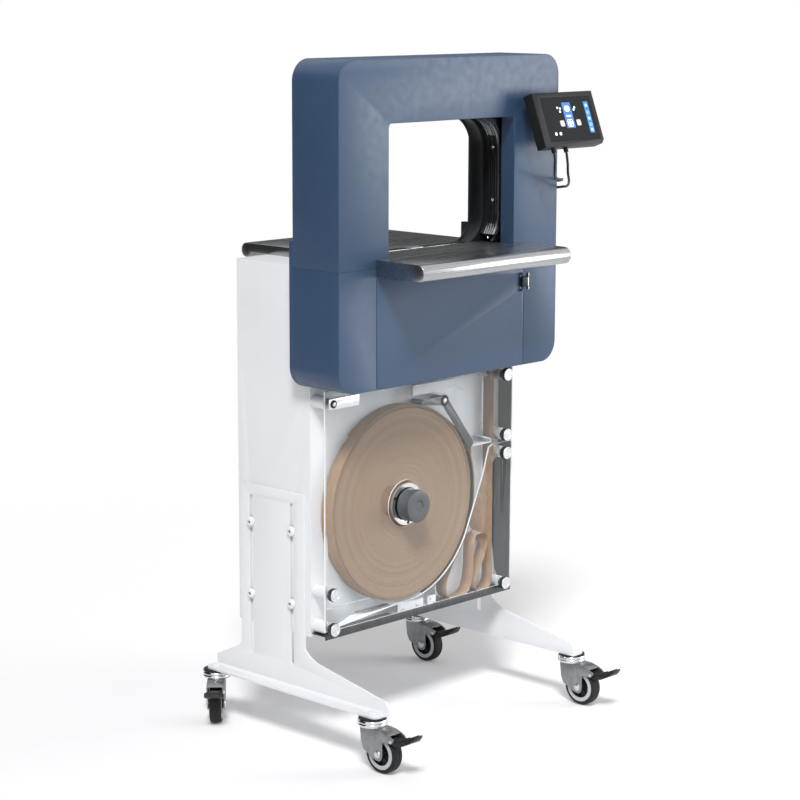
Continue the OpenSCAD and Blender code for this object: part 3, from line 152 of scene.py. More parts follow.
def coated(name, dark, light, rough, gloss=0.5, pebble=0.00004):
    """Powder coat or moulded plastic: slow colour change, fine pebble and uneven gloss."""
    finish = new_finish(name, light, rough, **{"Specular_IOR_Level": gloss})
    shade(finish, grain(finish, 5, 3), dark, light)
    polish(finish, grain(finish, 60, 4), rough - 0.04, rough + 0.05)
    relief(finish, grain(finish, 900, 2), 0.25, pebble)
    return finish


def brushed(name, dark, light, rough, stretch, metallic=1.0):
    """Metal brushed along the axis whose stretch is small."""
    finish = new_finish(name, light, rough, metallic)
    lines = grain(finish, 1, 3, stretch)
    shade(finish, lines, dark, light)
    polish(finish, lines, rough - 0.06, rough + 0.08)
    relief(finish, lines, 0.12, 0.00003)
    return finish


def roll_rings(finish, centre, dark, light):
    """Rings round the reel's axis, as wound edges show them."""
    tree = finish.node_tree
    place = tree.nodes.new("ShaderNodeTexCoord")
    shift = tree.nodes.new("ShaderNodeVectorMath")
    shift.operation = "SUBTRACT"
    shift.inputs[1].default_value = centre
    flat = tree.nodes.new("ShaderNodeVectorMath")
    flat.operation = "MULTIPLY"
    flat.inputs[1].default_value = (1, 0, 1)
    length = tree.nodes.new("ShaderNodeVectorMath")
    length.operation = "LENGTH"
    tree.links.new(place.outputs["Object"], shift.inputs[0])
    tree.links.new(shift.outputs["Vector"], flat.inputs[0])
    tree.links.new(flat.outputs["Vector"], length.inputs[0])
    rings = []
    for scale, detail in ((90, 3), (700, 2)):
        noise = tree.nodes.new("ShaderNodeTexNoise")
        noise.noise_dimensions = "1D"
        noise.inputs["Scale"].default_value = scale
        noise.inputs["Detail"].default_value = detail
        tree.links.new(length.outputs["Value"], noise.inputs["W"])
        rings.append(noise.outputs["Fac"])
    wide_share, fine_share = 0.55, 0.45
    join = tree.nodes.new("ShaderNodeMath")
    join.operation = "MULTIPLY_ADD"
    join.inputs[1].default_value = wide_share
    fine = tree.nodes.new("ShaderNodeMath")
    fine.operation = "MULTIPLY"
    fine.inputs[1].default_value = fine_share
    tree.links.new(rings[1], fine.inputs[0])
    tree.links.new(rings[0], join.inputs[0])
    tree.links.new(fine.outputs["Value"], join.inputs[2])
    shade(finish, join.outputs["Value"], dark, light)
    relief(finish, join.outputs["Value"], 0.4, 0.0004)


navy_coat = coated("navy_powder_coat", (0.024, 0.056, 0.118), (0.030, 0.066, 0.132), 0.42, 0.5)
white_coat = coated("white_powder_coat", (0.72, 0.73, 0.76), (0.77, 0.78, 0.80), 0.48, 0.4)
black_coat = coated("black_satin_coat", (0.008, 0.009, 0.010), (0.013, 0.014, 0.015), 0.4, 0.25)
slate_coat = coated("slate_anodising", (0.075, 0.083, 0.092), (0.10, 0.108, 0.116), 0.38, 0.4)
black_moulding = coated("black_moulded_plastic", (0.008, 0.009, 0.010), (0.013, 0.014, 0.015), 0.45,
                        0.22, 0.00008)
grey_moulding = coated("grey_moulded_plastic", (0.20, 0.215, 0.22), (0.26, 0.275, 0.28), 0.5, 0.5,
                       0.00008)
rim_moulding = coated("rim_moulded_plastic", (0.42, 0.44, 0.45), (0.50, 0.52, 0.53), 0.42, 0.5)
tyre_rubber = coated("tyre_rubber", (0.012, 0.012, 0.012), (0.022, 0.022, 0.022), 0.7, 0.25, 0.0001)
lead_sheath = coated("lead_sheath", (0.006, 0.006, 0.006), (0.012, 0.012, 0.012), 0.4, 0.35)
table_steel = brushed("brushed_table_steel", (0.36, 0.37, 0.38), (0.48, 0.49, 0.50), 0.27,
                      (6, 700, 700))
plate_steel = brushed("brushed_plate_steel", (0.40, 0.41, 0.42), (0.52, 0.53, 0.54), 0.36,
                      (500, 500, 8))
strip_metal = brushed("ribbed_strip_metal", (0.34, 0.345, 0.35), (0.46, 0.465, 0.47), 0.3,
                      (400, 400, 20))
dark_metal = brushed("dark_brushed_metal", (0.07, 0.075, 0.08), (0.12, 0.125, 0.13), 0.4,
                     (400, 400, 20))
zinc_plating = brushed("zinc_plating", (0.24, 0.25, 0.255), (0.34, 0.35, 0.355), 0.42, (90, 90, 90))
knob_metal = brushed("knob_metal", (0.58, 0.59, 0.60), (0.74, 0.75, 0.76), 0.3, (300, 60, 300))
knurl_metal = brushed("knurled_side_metal", (0.10, 0.105, 0.11), (0.20, 0.205, 0.21), 0.36,
                      (300, 60, 300))
chrome = new_finish("chrome_plating", (0.72, 0.73, 0.74), 0.1, 1.0)
polish(chrome, grain(chrome, 40), 0.06, 0.16)
kraft_side = new_finish("wound_kraft_side", (0.30, 0.195, 0.12), 0.8, **{"Specular_IOR_Level": 0.2})
roll_rings(kraft_side, to_frame @ Vector(REEL), (0.26, 0.168, 0.104), (0.32, 0.212, 0.134))
kraft_face = new_finish("kraft_paper_face", (0.40, 0.25, 0.15), 0.72, **{"Specular_IOR_Level": 0.3})
shade(kraft_face, grain(kraft_face, 1, 5, (60, 260, 60)), (0.34, 0.21, 0.125), (0.44, 0.28, 0.17))
relief(kraft_face, grain(kraft_face, 500, 3), 0.3, 0.00006)
# Painted highlight: the clear covers' cut edges are opaque near-white, standing for the light that
# they catch.
edge_highlight = new_finish("acrylic_edge_highlight", (0.86, 0.88, 0.89), 0.25,
                      **{"Specular_IOR_Level": 0.6})
polish(edge_highlight, grain(edge_highlight, 200), 0.18, 0.34)


def clear_acrylic():
    """Clear sheet that lets lamps through to what stands behind it."""
    finish = new_finish("clear_acrylic", (0.88, 0.90, 0.91), 0.02, **{"Transmission_Weight": 1.0,
                                                                     "IOR": 1.49})
    polish(finish, grain(finish, 3), 0.01, 0.04)
    tree = finish.node_tree
    through = tree.nodes.new("ShaderNodeBsdfTransparent")
    through.inputs["Color"].default_value = (0.75, 0.77, 0.78, 1)
    rays = tree.nodes.new("ShaderNodeLightPath")
    mix = tree.nodes.new("ShaderNodeMixShader")
    tree.links.new(rays.outputs["Is Shadow Ray"], mix.inputs["Fac"])
    tree.links.new(tree.nodes["Principled BSDF"].outputs["BSDF"], mix.inputs[1])
    tree.links.new(through.outputs["BSDF"], mix.inputs[2])
    tree.links.new(mix.outputs["Shader"], tree.nodes["Material Output"].inputs["Surface"])
    return finish


acrylic = clear_acrylic()
screen_glass = new_finish("screen_glass", (0.010, 0.011, 0.013), 0.12,
                          **{"Specular_IOR_Level": 0.2})
polish(screen_glass, grain(screen_glass, 8), 0.08, 0.16)


def lit_shape(name, colour):
    """Lit shapes on the screen."""
    finish = new_finish(name, colour, 0.3,
                        **{"Emission_Color": (*colour, 1), "Emission_Strength": 0.55})
    polish(finish, grain(finish, 60), 0.25, 0.4)
    return finish


screen_blue = lit_shape("screen_blue", (0.03, 0.14, 0.42))
screen_sky = lit_shape("screen_sky_blue", (0.12, 0.36, 0.75))
screen_white = lit_shape("screen_white", (0.82, 0.85, 0.88))
screen_grey = lit_shape("screen_grey", (0.45, 0.43, 0.42))


# Building helpers

SHARP = radians(32)


def keep(bm, name, finish, body, slot, *stands_for, smooth=35, settle=True):
    """Makes the object from a mesh in frame metres, with its finish and body. The slot is not used.
    """
    if settle:
        bmesh.ops.remove_doubles(bm, verts=bm.verts, dist=1e-6)
        bmesh.ops.recalc_face_normals(bm, faces=bm.faces)
    for face in bm.faces:
        face.smooth = True
    mesh = bpy.data.meshes.new(name)
    bm.to_mesh(mesh)
    bm.free()
    mesh.set_sharp_from_angle(angle=radians(smooth))
    for one in finish if isinstance(finish, (list, tuple)) else [finish]:
        mesh.materials.append(one)
    piece = bpy.data.objects.new(name, mesh)
    bpy.context.scene.collection.objects.link(piece)
    if body:
        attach(piece, body)
    if stands_for:
        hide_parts(*stands_for)
    return piece


def made(bm, name, finish, body, slot, *stands_for, smooth=35, place=None):
    """As keep, for a mesh in the machine's millimetres, or in a place's own."""
    bmesh.ops.transform(bm, matrix=to_frame @ (place or Matrix()), verts=bm.verts)
    return keep(bm, name, finish, body, slot, *stands_for, smooth=smooth)


def ease_edges(bm, edges, width, segments=2):
    """Rounds edges by width."""
    bmesh.ops.bevel(bm, geom=edges, offset=width, offset_type="OFFSET", segments=segments,
                    profile=0.5, affect="EDGES", clamp_overlap=True, material=-1)


def eased(node, finish, slot, width=0.8, segments=2, side=None, zone=None):
    """Stands for a node with its own shape, its edges eased by width. A side finish goes on the
    faces that look sideways, or on those that zone picks by centre in millimetres."""
    bm = bmesh.new()
    bm.from_mesh(frame["nodes"][node].data)
    bmesh.ops.remove_doubles(bm, verts=bm.verts, dist=2e-6)
    bmesh.ops.dissolve_limit(bm, angle_limit=radians(0.4), verts=bm.verts, edges=bm.edges,
                             delimit={"NORMAL"})
    for face in bm.faces:
        face.material_index = 0
    if width:
        ease_edges(bm, [edge for edge in bm.edges if len(edge.link_faces) == 2
                        and edge.calc_face_angle(0) > SHARP], width / 1000, segments)
    if side:
        bm.normal_update()
        back = to_frame.inverted()
        for face in bm.faces:
            if zone(back @ face.calc_center_median()) if zone else abs(face.normal.y) < 0.9:
                face.material_index = 1
    keep(bm, node + "_eased", [finish, side] if side else finish, body_of[node], slot, node,
         settle=False)


def along(axis):
    """Turns local Z onto an axis."""
    return Vector((0, 0, 1)).rotation_difference(Vector(axis)).to_matrix().to_4x4()


def placed(bm, before, place):
    """Moves what was added since before by a place, and hands it back."""
    fresh = [vert for vert in bm.verts if vert not in before]
    bmesh.ops.transform(bm, matrix=place, verts=fresh)
    return fresh


def new_edges(grown):
    """Edges that an extrusion has added."""
    return [item for item in grown["geom"] if isinstance(item, bmesh.types.BMEdge)]


def new_verts(grown):
    """Corners that an extrusion has added."""
    return [item for item in grown["geom"] if isinstance(item, bmesh.types.BMVert)]


def ringed(bm, rings, at, axis, count=48, notch=0.0):
    """Stacks rings of (radius, height) along an axis and closes both ends. A ring given a third
    value has every other corner drawn in by notch, as knurling."""
    before = set(bm.verts)
    start = bmesh.ops.create_circle(bm, segments=count, radius=1, cap_ends=False)["verts"]
    edges = list({edge for vert in start for edge in vert.link_edges})

    def shape(verts, ring):
        for vert in verts:
            way = vert.co.xy.normalized()
            odd = round(atan2(way.y, way.x) / (2 * pi) * count) % 2
            r = ring[0] - (notch if len(ring) > 2 and odd else 0)
            vert.co = (way.x * r, way.y * r, ring[1])

    shape(start, rings[0])
    bmesh.ops.edgeloop_fill(bm, edges=edges)
    for ring in rings[1:]:
        grown = bmesh.ops.extrude_edge_only(bm, edges=edges)
        edges = new_edges(grown)
        shape(new_verts(grown), ring)
    bmesh.ops.edgeloop_fill(bm, edges=edges)
    return placed(bm, before, Matrix.Translation(at) @ along(axis))


def turned(bm, profile, at, axis, steps):
    """Spins a closed profile of (radius, height) once round an axis."""
    before = set(bm.verts)
    verts = [bm.verts.new((r, 0, h)) for r, h in profile]
    edges = [bm.edges.new(pair) for pair in zip(verts, verts[1:] + verts[:1])]
    bmesh.ops.spin(bm, geom=verts + edges, cent=(0, 0, 0), axis=(0, 0, 1), angle=2 * pi,
                   steps=steps, use_merge=True)
    placed(bm, before, Matrix.Translation(at) @ along(axis))


def slab(bm, outline, push, ease=0.0, segments=2):
    """Pushes a flat outline of points along push and eases its edges."""
    before = set(bm.verts)
    face = bm.faces.new([bm.verts.new(point) for point in outline])
    grown = bmesh.ops.extrude_face_region(bm, geom=[face], use_keep_orig=True)
    bmesh.ops.translate(bm, vec=push, verts=new_verts(grown))
    fresh = [vert for vert in bm.verts if vert not in before]
    if ease:
        edges = list({edge for vert in fresh for edge in vert.link_edges})
        for edge in edges:
            for face in edge.link_faces:
                face.normal_update()
        bmesh.ops.recalc_face_normals(bm, faces=list({f for v in fresh for f in v.link_faces}))
        ease_edges(bm, [edge for edge in edges if edge.calc_face_angle(0) > SHARP], ease, segments)


def block(bm, low, high, ease=0.0, segments=2):
    """A box between two corners with eased edges."""
    low, high = Vector(low), Vector(high)
    size = high - low
    slab(bm, [low, low + Vector((size.x, 0, 0)), low + Vector((size.x, size.y, 0)),
              low + Vector((0, size.y, 0))], Vector((0, 0, size.z)), ease, segments)


def socket_head(bm, at, axis, radius, height, socket=0.0):
    """Dome head of a screw with a hexagonal socket. Shares are parts of its radius and height."""
    socket = socket or radius * 0.42
    depth_share = 0.55
    dome_shares = ((0.6, 0.97), (0.8, 0.84), (0.94, 0.55), (1.0, 0.22), (1.0, 0.0))
    before = set(bm.verts)
    rim = bmesh.ops.create_circle(bm, segments=24, radius=socket, cap_ends=False)["verts"]
    edges = list({edge for vert in rim for edge in vert.link_edges})
    for vert in rim:
        off_flat = atan2(vert.co.y, vert.co.x) % (pi / 3) - pi / 6
        vert.co = (*(vert.co.xy * cos(pi / 6) / cos(off_flat)), height)
    down = bmesh.ops.extrude_edge_only(bm, edges=edges)
    bmesh.ops.translate(bm, vec=(0, 0, -height * depth_share), verts=new_verts(down))
    bmesh.ops.edgeloop_fill(bm, edges=new_edges(down))
    for share, rise in dome_shares:
        grown = bmesh.ops.extrude_edge_only(bm, edges=edges)
        edges = new_edges(grown)
        for vert in new_verts(grown):
            way = vert.co.xy.normalized() * radius * share
            vert.co = (way.x, way.y, height * rise)
    bmesh.ops.edgeloop_fill(bm, edges=edges)
    placed(bm, before, Matrix.Translation(at) @ along(axis))


def smooth_line(points, steps):
    """Catmull-Rom curve through the points."""
    points = [Vector(point) for point in points]
    line = []
    for i in range(len(points) - 1):
        a, b, c, d = (points[max(0, min(len(points) - 1, i + k))] for k in (-1, 0, 1, 2))
        for k in range(steps):
            t = k / steps
            line.append((2 * b + (c - a) * t + (2 * a - 5 * b + 4 * c - d) * t * t
                         + (3 * b - a - 3 * c + d) * t ** 3) / 2)
    return line + [points[-1]]


# Camera and leads

LEAD_ROUTES = (
    ((219, -60, 1100), (219, -62, 1088), (221, -60, 1076), (227, -55, 1066), (235, -48, 1059),
     (244, -42, 1053), (255, -36, 1049), (266, -31, 1047), (277, -25, 1045), (288, -19, 1044),
     (299, -13, 1043), (309, -5, 1042), (318, 3, 1040), (322.5, 13, 1038), (320, 24, 1037),
     (311, 29.5, 1037), (303, 30, 1037)),
    ((255, -60, 1100), (255, -62, 1089), (257, -62, 1077), (261, -59, 1066), (267, -55, 1057),
     (275, -50, 1049), (283, -44, 1043), (291, -37, 1038), (299, -29, 1034), (307, -20, 1031),
     (314, -10, 1028), (319, 0, 1027), (322, 12, 1025), (321, 23, 1024), (314, 32, 1024),
     (303, 35, 1024)))


def panel_leads():
    """Two black leads from the panel's underside round the arch into their glands."""
    for index, route in enumerate(LEAD_ROUTES):
        path = [to_frame @ point for point in smooth_line(route, 4)]
        curve = bpy.data.curves.new("lead_curve", "CURVE")
        curve.dimensions, curve.bevel_depth, curve.bevel_resolution = "3D", 0.0025, 5
        curve.use_fill_caps = True
        spline = curve.splines.new("POLY")
        spline.points.add(len(path) - 1)
        for point, place in zip(spline.points, path):
            point.co = (*place, 1)
        holder = bpy.data.objects.new("lead_curve", curve)
        mesh = bpy.data.meshes.new_from_object(holder)
        bpy.data.objects.remove(holder)
        bm = bmesh.new()
        bm.from_mesh(mesh)
        lead = keep(bm, "panel_lead_%d" % (index + 1), lead_sheath, None, "cord",
                    *(["panel_leads"] if index == 0 else []), smooth=60)
        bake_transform(lead)


# Sheet metal, tables and covers

def sheet_metal():
    """Coated covers, steel tables and feet, each with its edges eased."""
    for node in ("arch_front_cover", "arch_rear_cover", "lower_housing"):
        eased(node, navy_coat, "blue_paint", 1.2, 3)
    eased("front_door", navy_coat, "blue_paint", 0.9)
    eased("lower_back_plate", navy_coat, "blue_paint", 0.5)
    eased("column_shell", white_coat, "white_paint", 1.2, 3)
    eased("column_back_cover", white_coat, "white_paint", 1.0)
    eased("left_foot", white_coat, "white_paint", 1.1)
    eased("right_foot", white_coat, "white_paint", 1.1)
    eased("front_table", table_steel, "brushed_steel", 0.7)
    eased("rear_table", table_steel, "brushed_steel", 0.7)
    eased("band_guide", black_coat, "black_plastic", 0.7)
    eased("machine_frame", dark_metal, "dark_paint", 0.5)
    eased("guide_corner_plates", dark_metal, "dark_paint", 0.3)
    eased("guide_strips", strip_metal, "aluminium", 0, side=black_coat,
          zone=lambda at: at.y > 62.9 or (44.2 < at.y and 962 < at.z < 1132 and abs(at.x) < 176))
    eased("head_plates", plate_steel, "brushed_steel", 0.3)
    eased("sealing_horn", plate_steel, "brushed_steel", 0.6)
    eased("pool_tray", dark_metal, "zinc", 0.5)
    eased("band_brackets", white_coat, "white_paint", 0.4)
    eased("brake_lever", dark_metal, "dark_paint", 0.4)
    eased("cover_latch", knob_metal, "aluminium", 1.4, 3)
    eased("control_box", grey_moulding, "grey_plastic", 2.0, 3)
    eased("panel_bracket", black_moulding, "black_plastic", 0.5)
    eased("power_inlet", black_moulding, "black_plastic", 0.4)
    eased("power_switch", black_moulding, "black_plastic", 0.4)
    # The covers' sideways edges take the painted highlight finish.
    eased("reel_cover", acrylic, "clear_cover", 0.3, 1, side=edge_highlight)
    eased("pool_cover", acrylic, "clear_cover", 0.3, 1, side=edge_highlight)


def plain_nodes():
    """Nodes whose shape is right keep it and get their finish."""
    for node, finish in (("door_hardware", zinc_plating),
                         ("feed_motor", dark_metal), ("reel_shaft", plate_steel),
                         ("pool_wall", dark_metal), ("cable_glands", black_moulding),
                         ("drive_roller", black_coat), ("pressure_roller", plate_steel),
                         ("seal_cam", dark_metal), ("reel_hub", chrome),
                         ("cover_standoffs", white_coat), ("guide_screws", chrome)):
        for place in frame["nodes"][node].material_slots:
            place.material = finish


# Fasteners

def foot_bolts():
    """Eight dome heads with their shanks, and black painted shade on the floor of each socket."""
    places = [(side, y, z) for side in (-1, 1) for y in (161, 273) for z in (264, 405)]
    plate_face, shank_start, socket_floor = 267.4, 251, 270.2
    bm = bmesh.new()
    for side, y, z in places:
        socket_head(bm, (side * plate_face, y, z), (side, 0, 0), 10, 6.2, 3.6)
        ringed(bm, [(4, 0), (4, 17)], (side * shank_start, y, z), (side, 0, 0), 20)
    made(bm, "foot_bolts_domed", white_coat, "machine", "white_paint", "foot_bolts")
    # Painted shade: black discs on the socket floors, where the sockets fall dark.
    bm = bmesh.new()
    for side, y, z in places:
        ringed(bm, [(3.3, 0), (3.3, 0.6)], (side * socket_floor, y, z), (side, 0, 0), 6)
    made(bm, "foot_bolt_socket_shade", black_coat, "machine", "dark_paint")


def guide_fasteners():
    """Small bright screws on the guide's strips and corner plates, and the strips' joints."""
    strip_x, strip_mid_y, plate_y = 170.6, 53.5, 43.2
    bm = bmesh.new()
    for side in (-1, 1):
        for z in (1109, 1007):
            socket_head(bm, (side * strip_x, strip_mid_y, z), (-side, 0, 0), 3.2, 1.8)
        for x, z in ((146.6, 936.4), (163, 948), (155, 1156)):
            socket_head(bm, (side * x, plate_y, z), FORWARD, 2.6, 1.6)
    made(bm, "guide_small_screws", chrome, "machine", "brushed_steel")
    joint_x, front, back, half_t, half_h = 170.1, 44, 63, 0.3, 0.6
    bm = bmesh.new()
    for side in (-1, 1):
        for z in (1120, 992):
            block(bm, (side * joint_x - half_t, front, z - half_h),
                  (side * joint_x + half_t, back, z + half_h))
    made(bm, "strip_joint_lines", black_coat, "machine", "dark_paint")


def small_trim():
    """Black strips painted as shade in the slot between the tables, screws on the low brackets, and
    the pivots' bolts.
    """
    # Painted shade: thin black strips where the slot between the tables falls dark.
    bm = bmesh.new()
    for low, high in ((-129.5, -26), (14, 129.5)):
        block(bm, (low, 84, TABLE_TOP - 0.4), (high, 102, TABLE_TOP + 0.3), 0.2, 1)
    made(bm, "table_gap_shade_strips", black_coat, "machine", "black_plastic")
    bracket_face = 84
    bm = bmesh.new()
    for x, z in ((-48, 226.5), (-8, 226.5), (30, 232), (41, 221)):
        socket_head(bm, (x, bracket_face, z), FORWARD, 3.1, 1.7)
    made(bm, "bracket_screws", chrome, "machine", "zinc")

    pivot_x, pivot_z = LEVER_PIVOT
    washer_face = 80.4
    bm = bmesh.new()
    ringed(bm, [(11, 83.4), (11, 81.2), (10.2, washer_face), (5, washer_face)],
           (pivot_x, 0, pivot_z), BACKWARD, 48)
    made(bm, "lever_washer", black_coat, "machine", "black_plastic")
    bm = bmesh.new()
    socket_head(bm, (pivot_x, washer_face, pivot_z), FORWARD, 6.2, 2.2)
    made(bm, "lever_bolt", knob_metal, "machine", "zinc")

    pivot_x, pivot_z = LATCH_PIVOT
    washer_face = 63.3
    bm = bmesh.new()
    ringed(bm, [(7.6, 65.1), (7.6, 63.9), (7, washer_face), (3, washer_face)],
           (pivot_x, 0, pivot_z), BACKWARD, 40)
    made(bm, "latch_washer", black_coat, "cover_latch", "black_plastic")
    bm = bmesh.new()
    socket_head(bm, (pivot_x, washer_face, pivot_z), FORWARD, 4.2, 1.8)
    made(bm, "latch_screw", knob_metal, "cover_latch", "aluminium")


def knurled_knob(bm, x, z):
    """Cover knob: bright face, dark knurled side and a thin collar."""
    bright_to = 62.9
    fresh = ringed(bm, [(8.6, 62.5), (9.0, 62), (11.6, 62), (12.3, 62.8), (12.5, 63.6, 1),
                        (12.5, 71.6, 1), (12.2, 72.6), (11.2, 73.6), (7, 73.6), (7, 77)],
                   (x, 0, z), BACKWARD, 96, 0.55)
    for face in {face for vert in fresh for face in vert.link_faces}:
        face.material_index = 1 if face.calc_center_median().y > bright_to else 0


def cover_knobs():
    """Six knobs that hold the clear covers, each with two black rings."""
    grip_ring = [(12.9, 64.6), (13.0, 65), (13.0, 65.6), (12.6, 65.8)]
    collar_ring = [(7.05, 74.2), (8.2, 74.2), (8.6, 75.4), (8.2, 76.8), (7.05, 76.8)]
    for node, places, body in (
            ("reel_cover_knobs", ((-248, 295), (234, 655), (234, 533)), "upper_cover"),
            ("pool_cover_knobs", ((-248, 228), (234, 496), (234, 228)), "machine")):
        bm = bmesh.new()
        for x, z in places:
            knurled_knob(bm, x, z)
        made(bm, node + "_knurled", [knob_metal, knurl_metal], body, "aluminium", node, smooth=28)
        bm = bmesh.new()
        for x, z in places:
            turned(bm, grip_ring, (x, 0, z), BACKWARD, 48)
            turned(bm, collar_ring, (x, 0, z), BACKWARD, 32)
        made(bm, node + "_black_rings", black_coat, body, "black_plastic")


# Reel and band

def reel_parts():
    """Knurled lock knob, the hub's inner sleeve, and black painted shade in its recess and three
    holes.
    """
    bm = bmesh.new()
    ringed(bm, [(10.6, 42.4), (11.2, 42), (12, 41.4), (12.6, 40.2), (13.4, 40), (29.2, 40),
                (30.4, 40.5), (31, 41.6), (31, 43.4, 1), (31, 66.6, 1), (31, 68.4), (30.2, 70)],
           REEL, BACKWARD, 160, 0.5)
    made(bm, "lock_knob_knurled", slate_coat, "lock_knob", "dark_paint", "lock_knob", smooth=28)
    bm = bmesh.new()
    turned(bm, [(22.5, 80.6), (22.5, 70.6), (23.2, 70), (26, 70), (26.6, 70.8), (26.6, 80.6)], REEL,
           BACKWARD, 96)
    made(bm, "hub_sleeve", chrome, "reel", "zinc")
    # Painted shade: a black ring where the hub's recess falls dark, and black discs where its three
    # holes do.
    bm = bmesh.new()
    turned(bm, [(32.6, 80.9), (32.6, 79.8), (27, 79.8), (27, 80.9)], REEL, BACKWARD, 96)
    hole_circle_r, hole_y, first_angle = 36.8, 71.6, 35
    for k in range(3):
        angle = radians(first_angle + 120 * k)
        ringed(bm, [(3.2, 0), (3.2, 1.6)], (REEL[0] + hole_circle_r * cos(angle), hole_y,
                                            REEL[2] + hole_circle_r * sin(angle)), BACKWARD, 24)
    made(bm, "hub_recess", black_coat, "reel", "dark_paint")


def wound_roll():
    """Roll of kraft band: uneven wound side and its last turns as one spiral strip."""
    draw = random.Random(7)
    core, last = 38.3, 185.2
    count = 84
    rings = []
    for i in range(count + 1):
        r = core + (last - core) * i / count
        rings.append((r, BAND_FRONT + draw.choice((0, 0.12, 0.2, 0.35)) + 0.1 * sin(i * 0.9)))
    bm = bmesh.new()
    turned(bm, [(core, BAND_BACK), *rings, (last, BAND_BACK)], REEL, BACKWARD, 128)
    made(bm, "wound_band_roll", kraft_side, "reel", "kraft_band", "band_roll", smooth=40)
    pitch, turns, steps = 1.25, 4, 96
    inner = ROLL_R - BAND_T - pitch * turns
    bm = bmesh.new()
    section = [bm.verts.new((inner + dx, 0, h)) for dx, h in
               ((0, BAND_FRONT), (BAND_T, BAND_FRONT), (BAND_T, BAND_BACK), (0, BAND_BACK))]
    ring = [bm.edges.new((section[k], section[(k + 1) % 4])) for k in range(4)]
    bmesh.ops.spin(bm, geom=section + ring, cent=(0, 0, 0), axis=(0, 0, 1), angle=2 * pi * turns,
                   steps=steps * turns, use_merge=False)
    for index, vert in enumerate(bm.verts):
        way = vert.co.xy.normalized()
        grow = pitch * (index // 4) / steps
        vert.co.x += way.x * grow
        vert.co.y += way.y * grow
    bmesh.ops.holes_fill(bm, edges=[edge for edge in bm.edges if edge.is_boundary], sides=4)
    bm.normal_update()
    for face in bm.faces:
        face.material_index = 1 if abs(face.normal.z) > 0.5 else 0
    placed(bm, set(), Matrix.Translation(REEL) @ along(BACKWARD))
    made(bm, "last_band_turns", [kraft_face, kraft_side], "reel", "kraft_band", smooth=40)


def arc(x, z, r, start, end, steps):
    """Points on an arc from start to end degrees."""
    return [(x + r * cos(radians(start + (end - start) * i / steps)),
             z + r * sin(radians(start + (end - start) * i / steps))) for i in range(steps + 1)]


# The band's loops, as shares of the pool's width and height
POOL_LEFT, POOL_FLOOR, POOL_W, POOL_H = 77, 216.5, 135, 121
LOOP_SHARES = (
    (0.19, 0.68), (0.08, 0.47), (0, 0.29), (0.015, 0.125), (0.095, 0.025), (0.23, 0),
    (0.38, 0.02), (0.49, 0.09), (0.555, 0.24), (0.578, 0.45), (0.585, 0.65), (0.593, 0.82),
    (0.622, 0.93), (0.704, 0.99), (0.822, 0.99), (0.911, 0.92), (0.918, 0.8), (0.852, 0.64),
    (0.748, 0.44), (0.674, 0.29), (0.637, 0.16), (0.667, 0.06), (0.748, 0.01), (0.852, 0.01),
    (0.941, 0.06), (0.99, 0.16), (1, 0.33))


def folded_band():
    """Single band from the roll over the lever, through the pool's loops and up to the rollers."""
    tip = Vector((140, 528))
    hub = Vector((REEL[0], REEL[2]))
    leave_r, turn_r, wall_r = ROLL_R + 0.7, 4.7, 203.2
    gap = tip - hub
    leave = atan2(gap.y, gap.x) + acos((leave_r - turn_r) / gap.length)
    leave = leave * 180 / pi
    route = ([(hub.x + leave_r * cos(radians(leave)), hub.y + leave_r * sin(radians(leave)))]
             + arc(tip.x, tip.y, turn_r, leave, 0, 8)
             + arc(hub.x, hub.y, wall_r, 18, -37, 14))
    loops = [(POOL_LEFT + a * POOL_W, 0, POOL_FLOOR + b * POOL_H) for a, b in LOOP_SHARES]
    *line, last = [Vector((x, 0, z)) for x, z in route]
    line += smooth_line([last, *loops], 5)
    rise_x, rise_start, rise_end = POOL_LEFT + POOL_W, 507.8, 855
    line += [Vector((rise_x, 0, rise_start)), Vector((rise_x, 0, rise_end))]
    bm = bmesh.new()
    start = [bm.verts.new((line[0].x, y, line[0].z)) for y in (BAND_FRONT, BAND_BACK)]
    edges = [bm.edges.new(start)]
    for point in line[1:]:
        grown = bmesh.ops.extrude_edge_only(bm, edges=edges)
        edges = new_edges(grown)
        for vert in new_verts(grown):
            vert.co.x, vert.co.z = point.x, point.z
    band = made(bm, "folded_band", kraft_face, "machine", "kraft_band", "band_web", smooth=50)
    wall = band.modifiers.new("band_thickness", "SOLIDIFY")
    wall.thickness, wall.offset = BAND_T / 1000, 0


# Casters

# Side view of the fork's cheeks and of the bridge between them, as parts of FORK_UNIT
FORK_UNIT = 100
FORK_SHARES = (
    (0.16, 0.8), (0.13, 0.53), (0.07, 0.4), (-0.18, 0.28), (-0.24, 0.258), (-0.3, 0.25),
    (-0.355, 0.262), (-0.39, 0.3), (-0.41, 0.38), (-0.405, 0.6), (-0.43, 0.635), (-0.63, 0.645),
    (-0.69, 0.7), (-0.68, 0.745), (-0.56, 0.795), (-0.44, 0.83), (-0.32, 0.84), (0.16, 0.84))
BRIDGE_SHARES = (
    (0.16, 0.79), (-0.32, 0.79), (-0.44, 0.785), (-0.55, 0.755), (-0.58, 0.782),
    (-0.44, 0.83), (-0.32, 0.84), (0.16, 0.84))


def caster(name, x, y, turn):
    """Swivel race, pressed fork, wheel, tyre and brake pedal of one caster."""
    place = Matrix.Translation((x, y, 0)) @ Matrix.Rotation(radians(turn), 4, "Z")
    fork, wheel, pedal = (name + part for part in ("_fork", "_wheel", "_pedal"))
    caster_fork(name, fork, place)
    caster_wheel(wheel, place)
    eased(pedal, black_moulding, "black_plastic", 0.8)
    bm = bmesh.new()
    for k in range(5):
        y0, z0 = -82 - 6.4 * k, 74.6 + 0.9 * k + (0.45 * k * k)
        half = 14 - 0.6 * k
        block(bm, (-half, y0 - 1, z0 - 0.6), (half, y0 + 1, z0 + 0.9), 0.4, 1)
    made(bm, pedal + "_grip_ribs", black_moulding, pedal, "black_plastic", place=place)


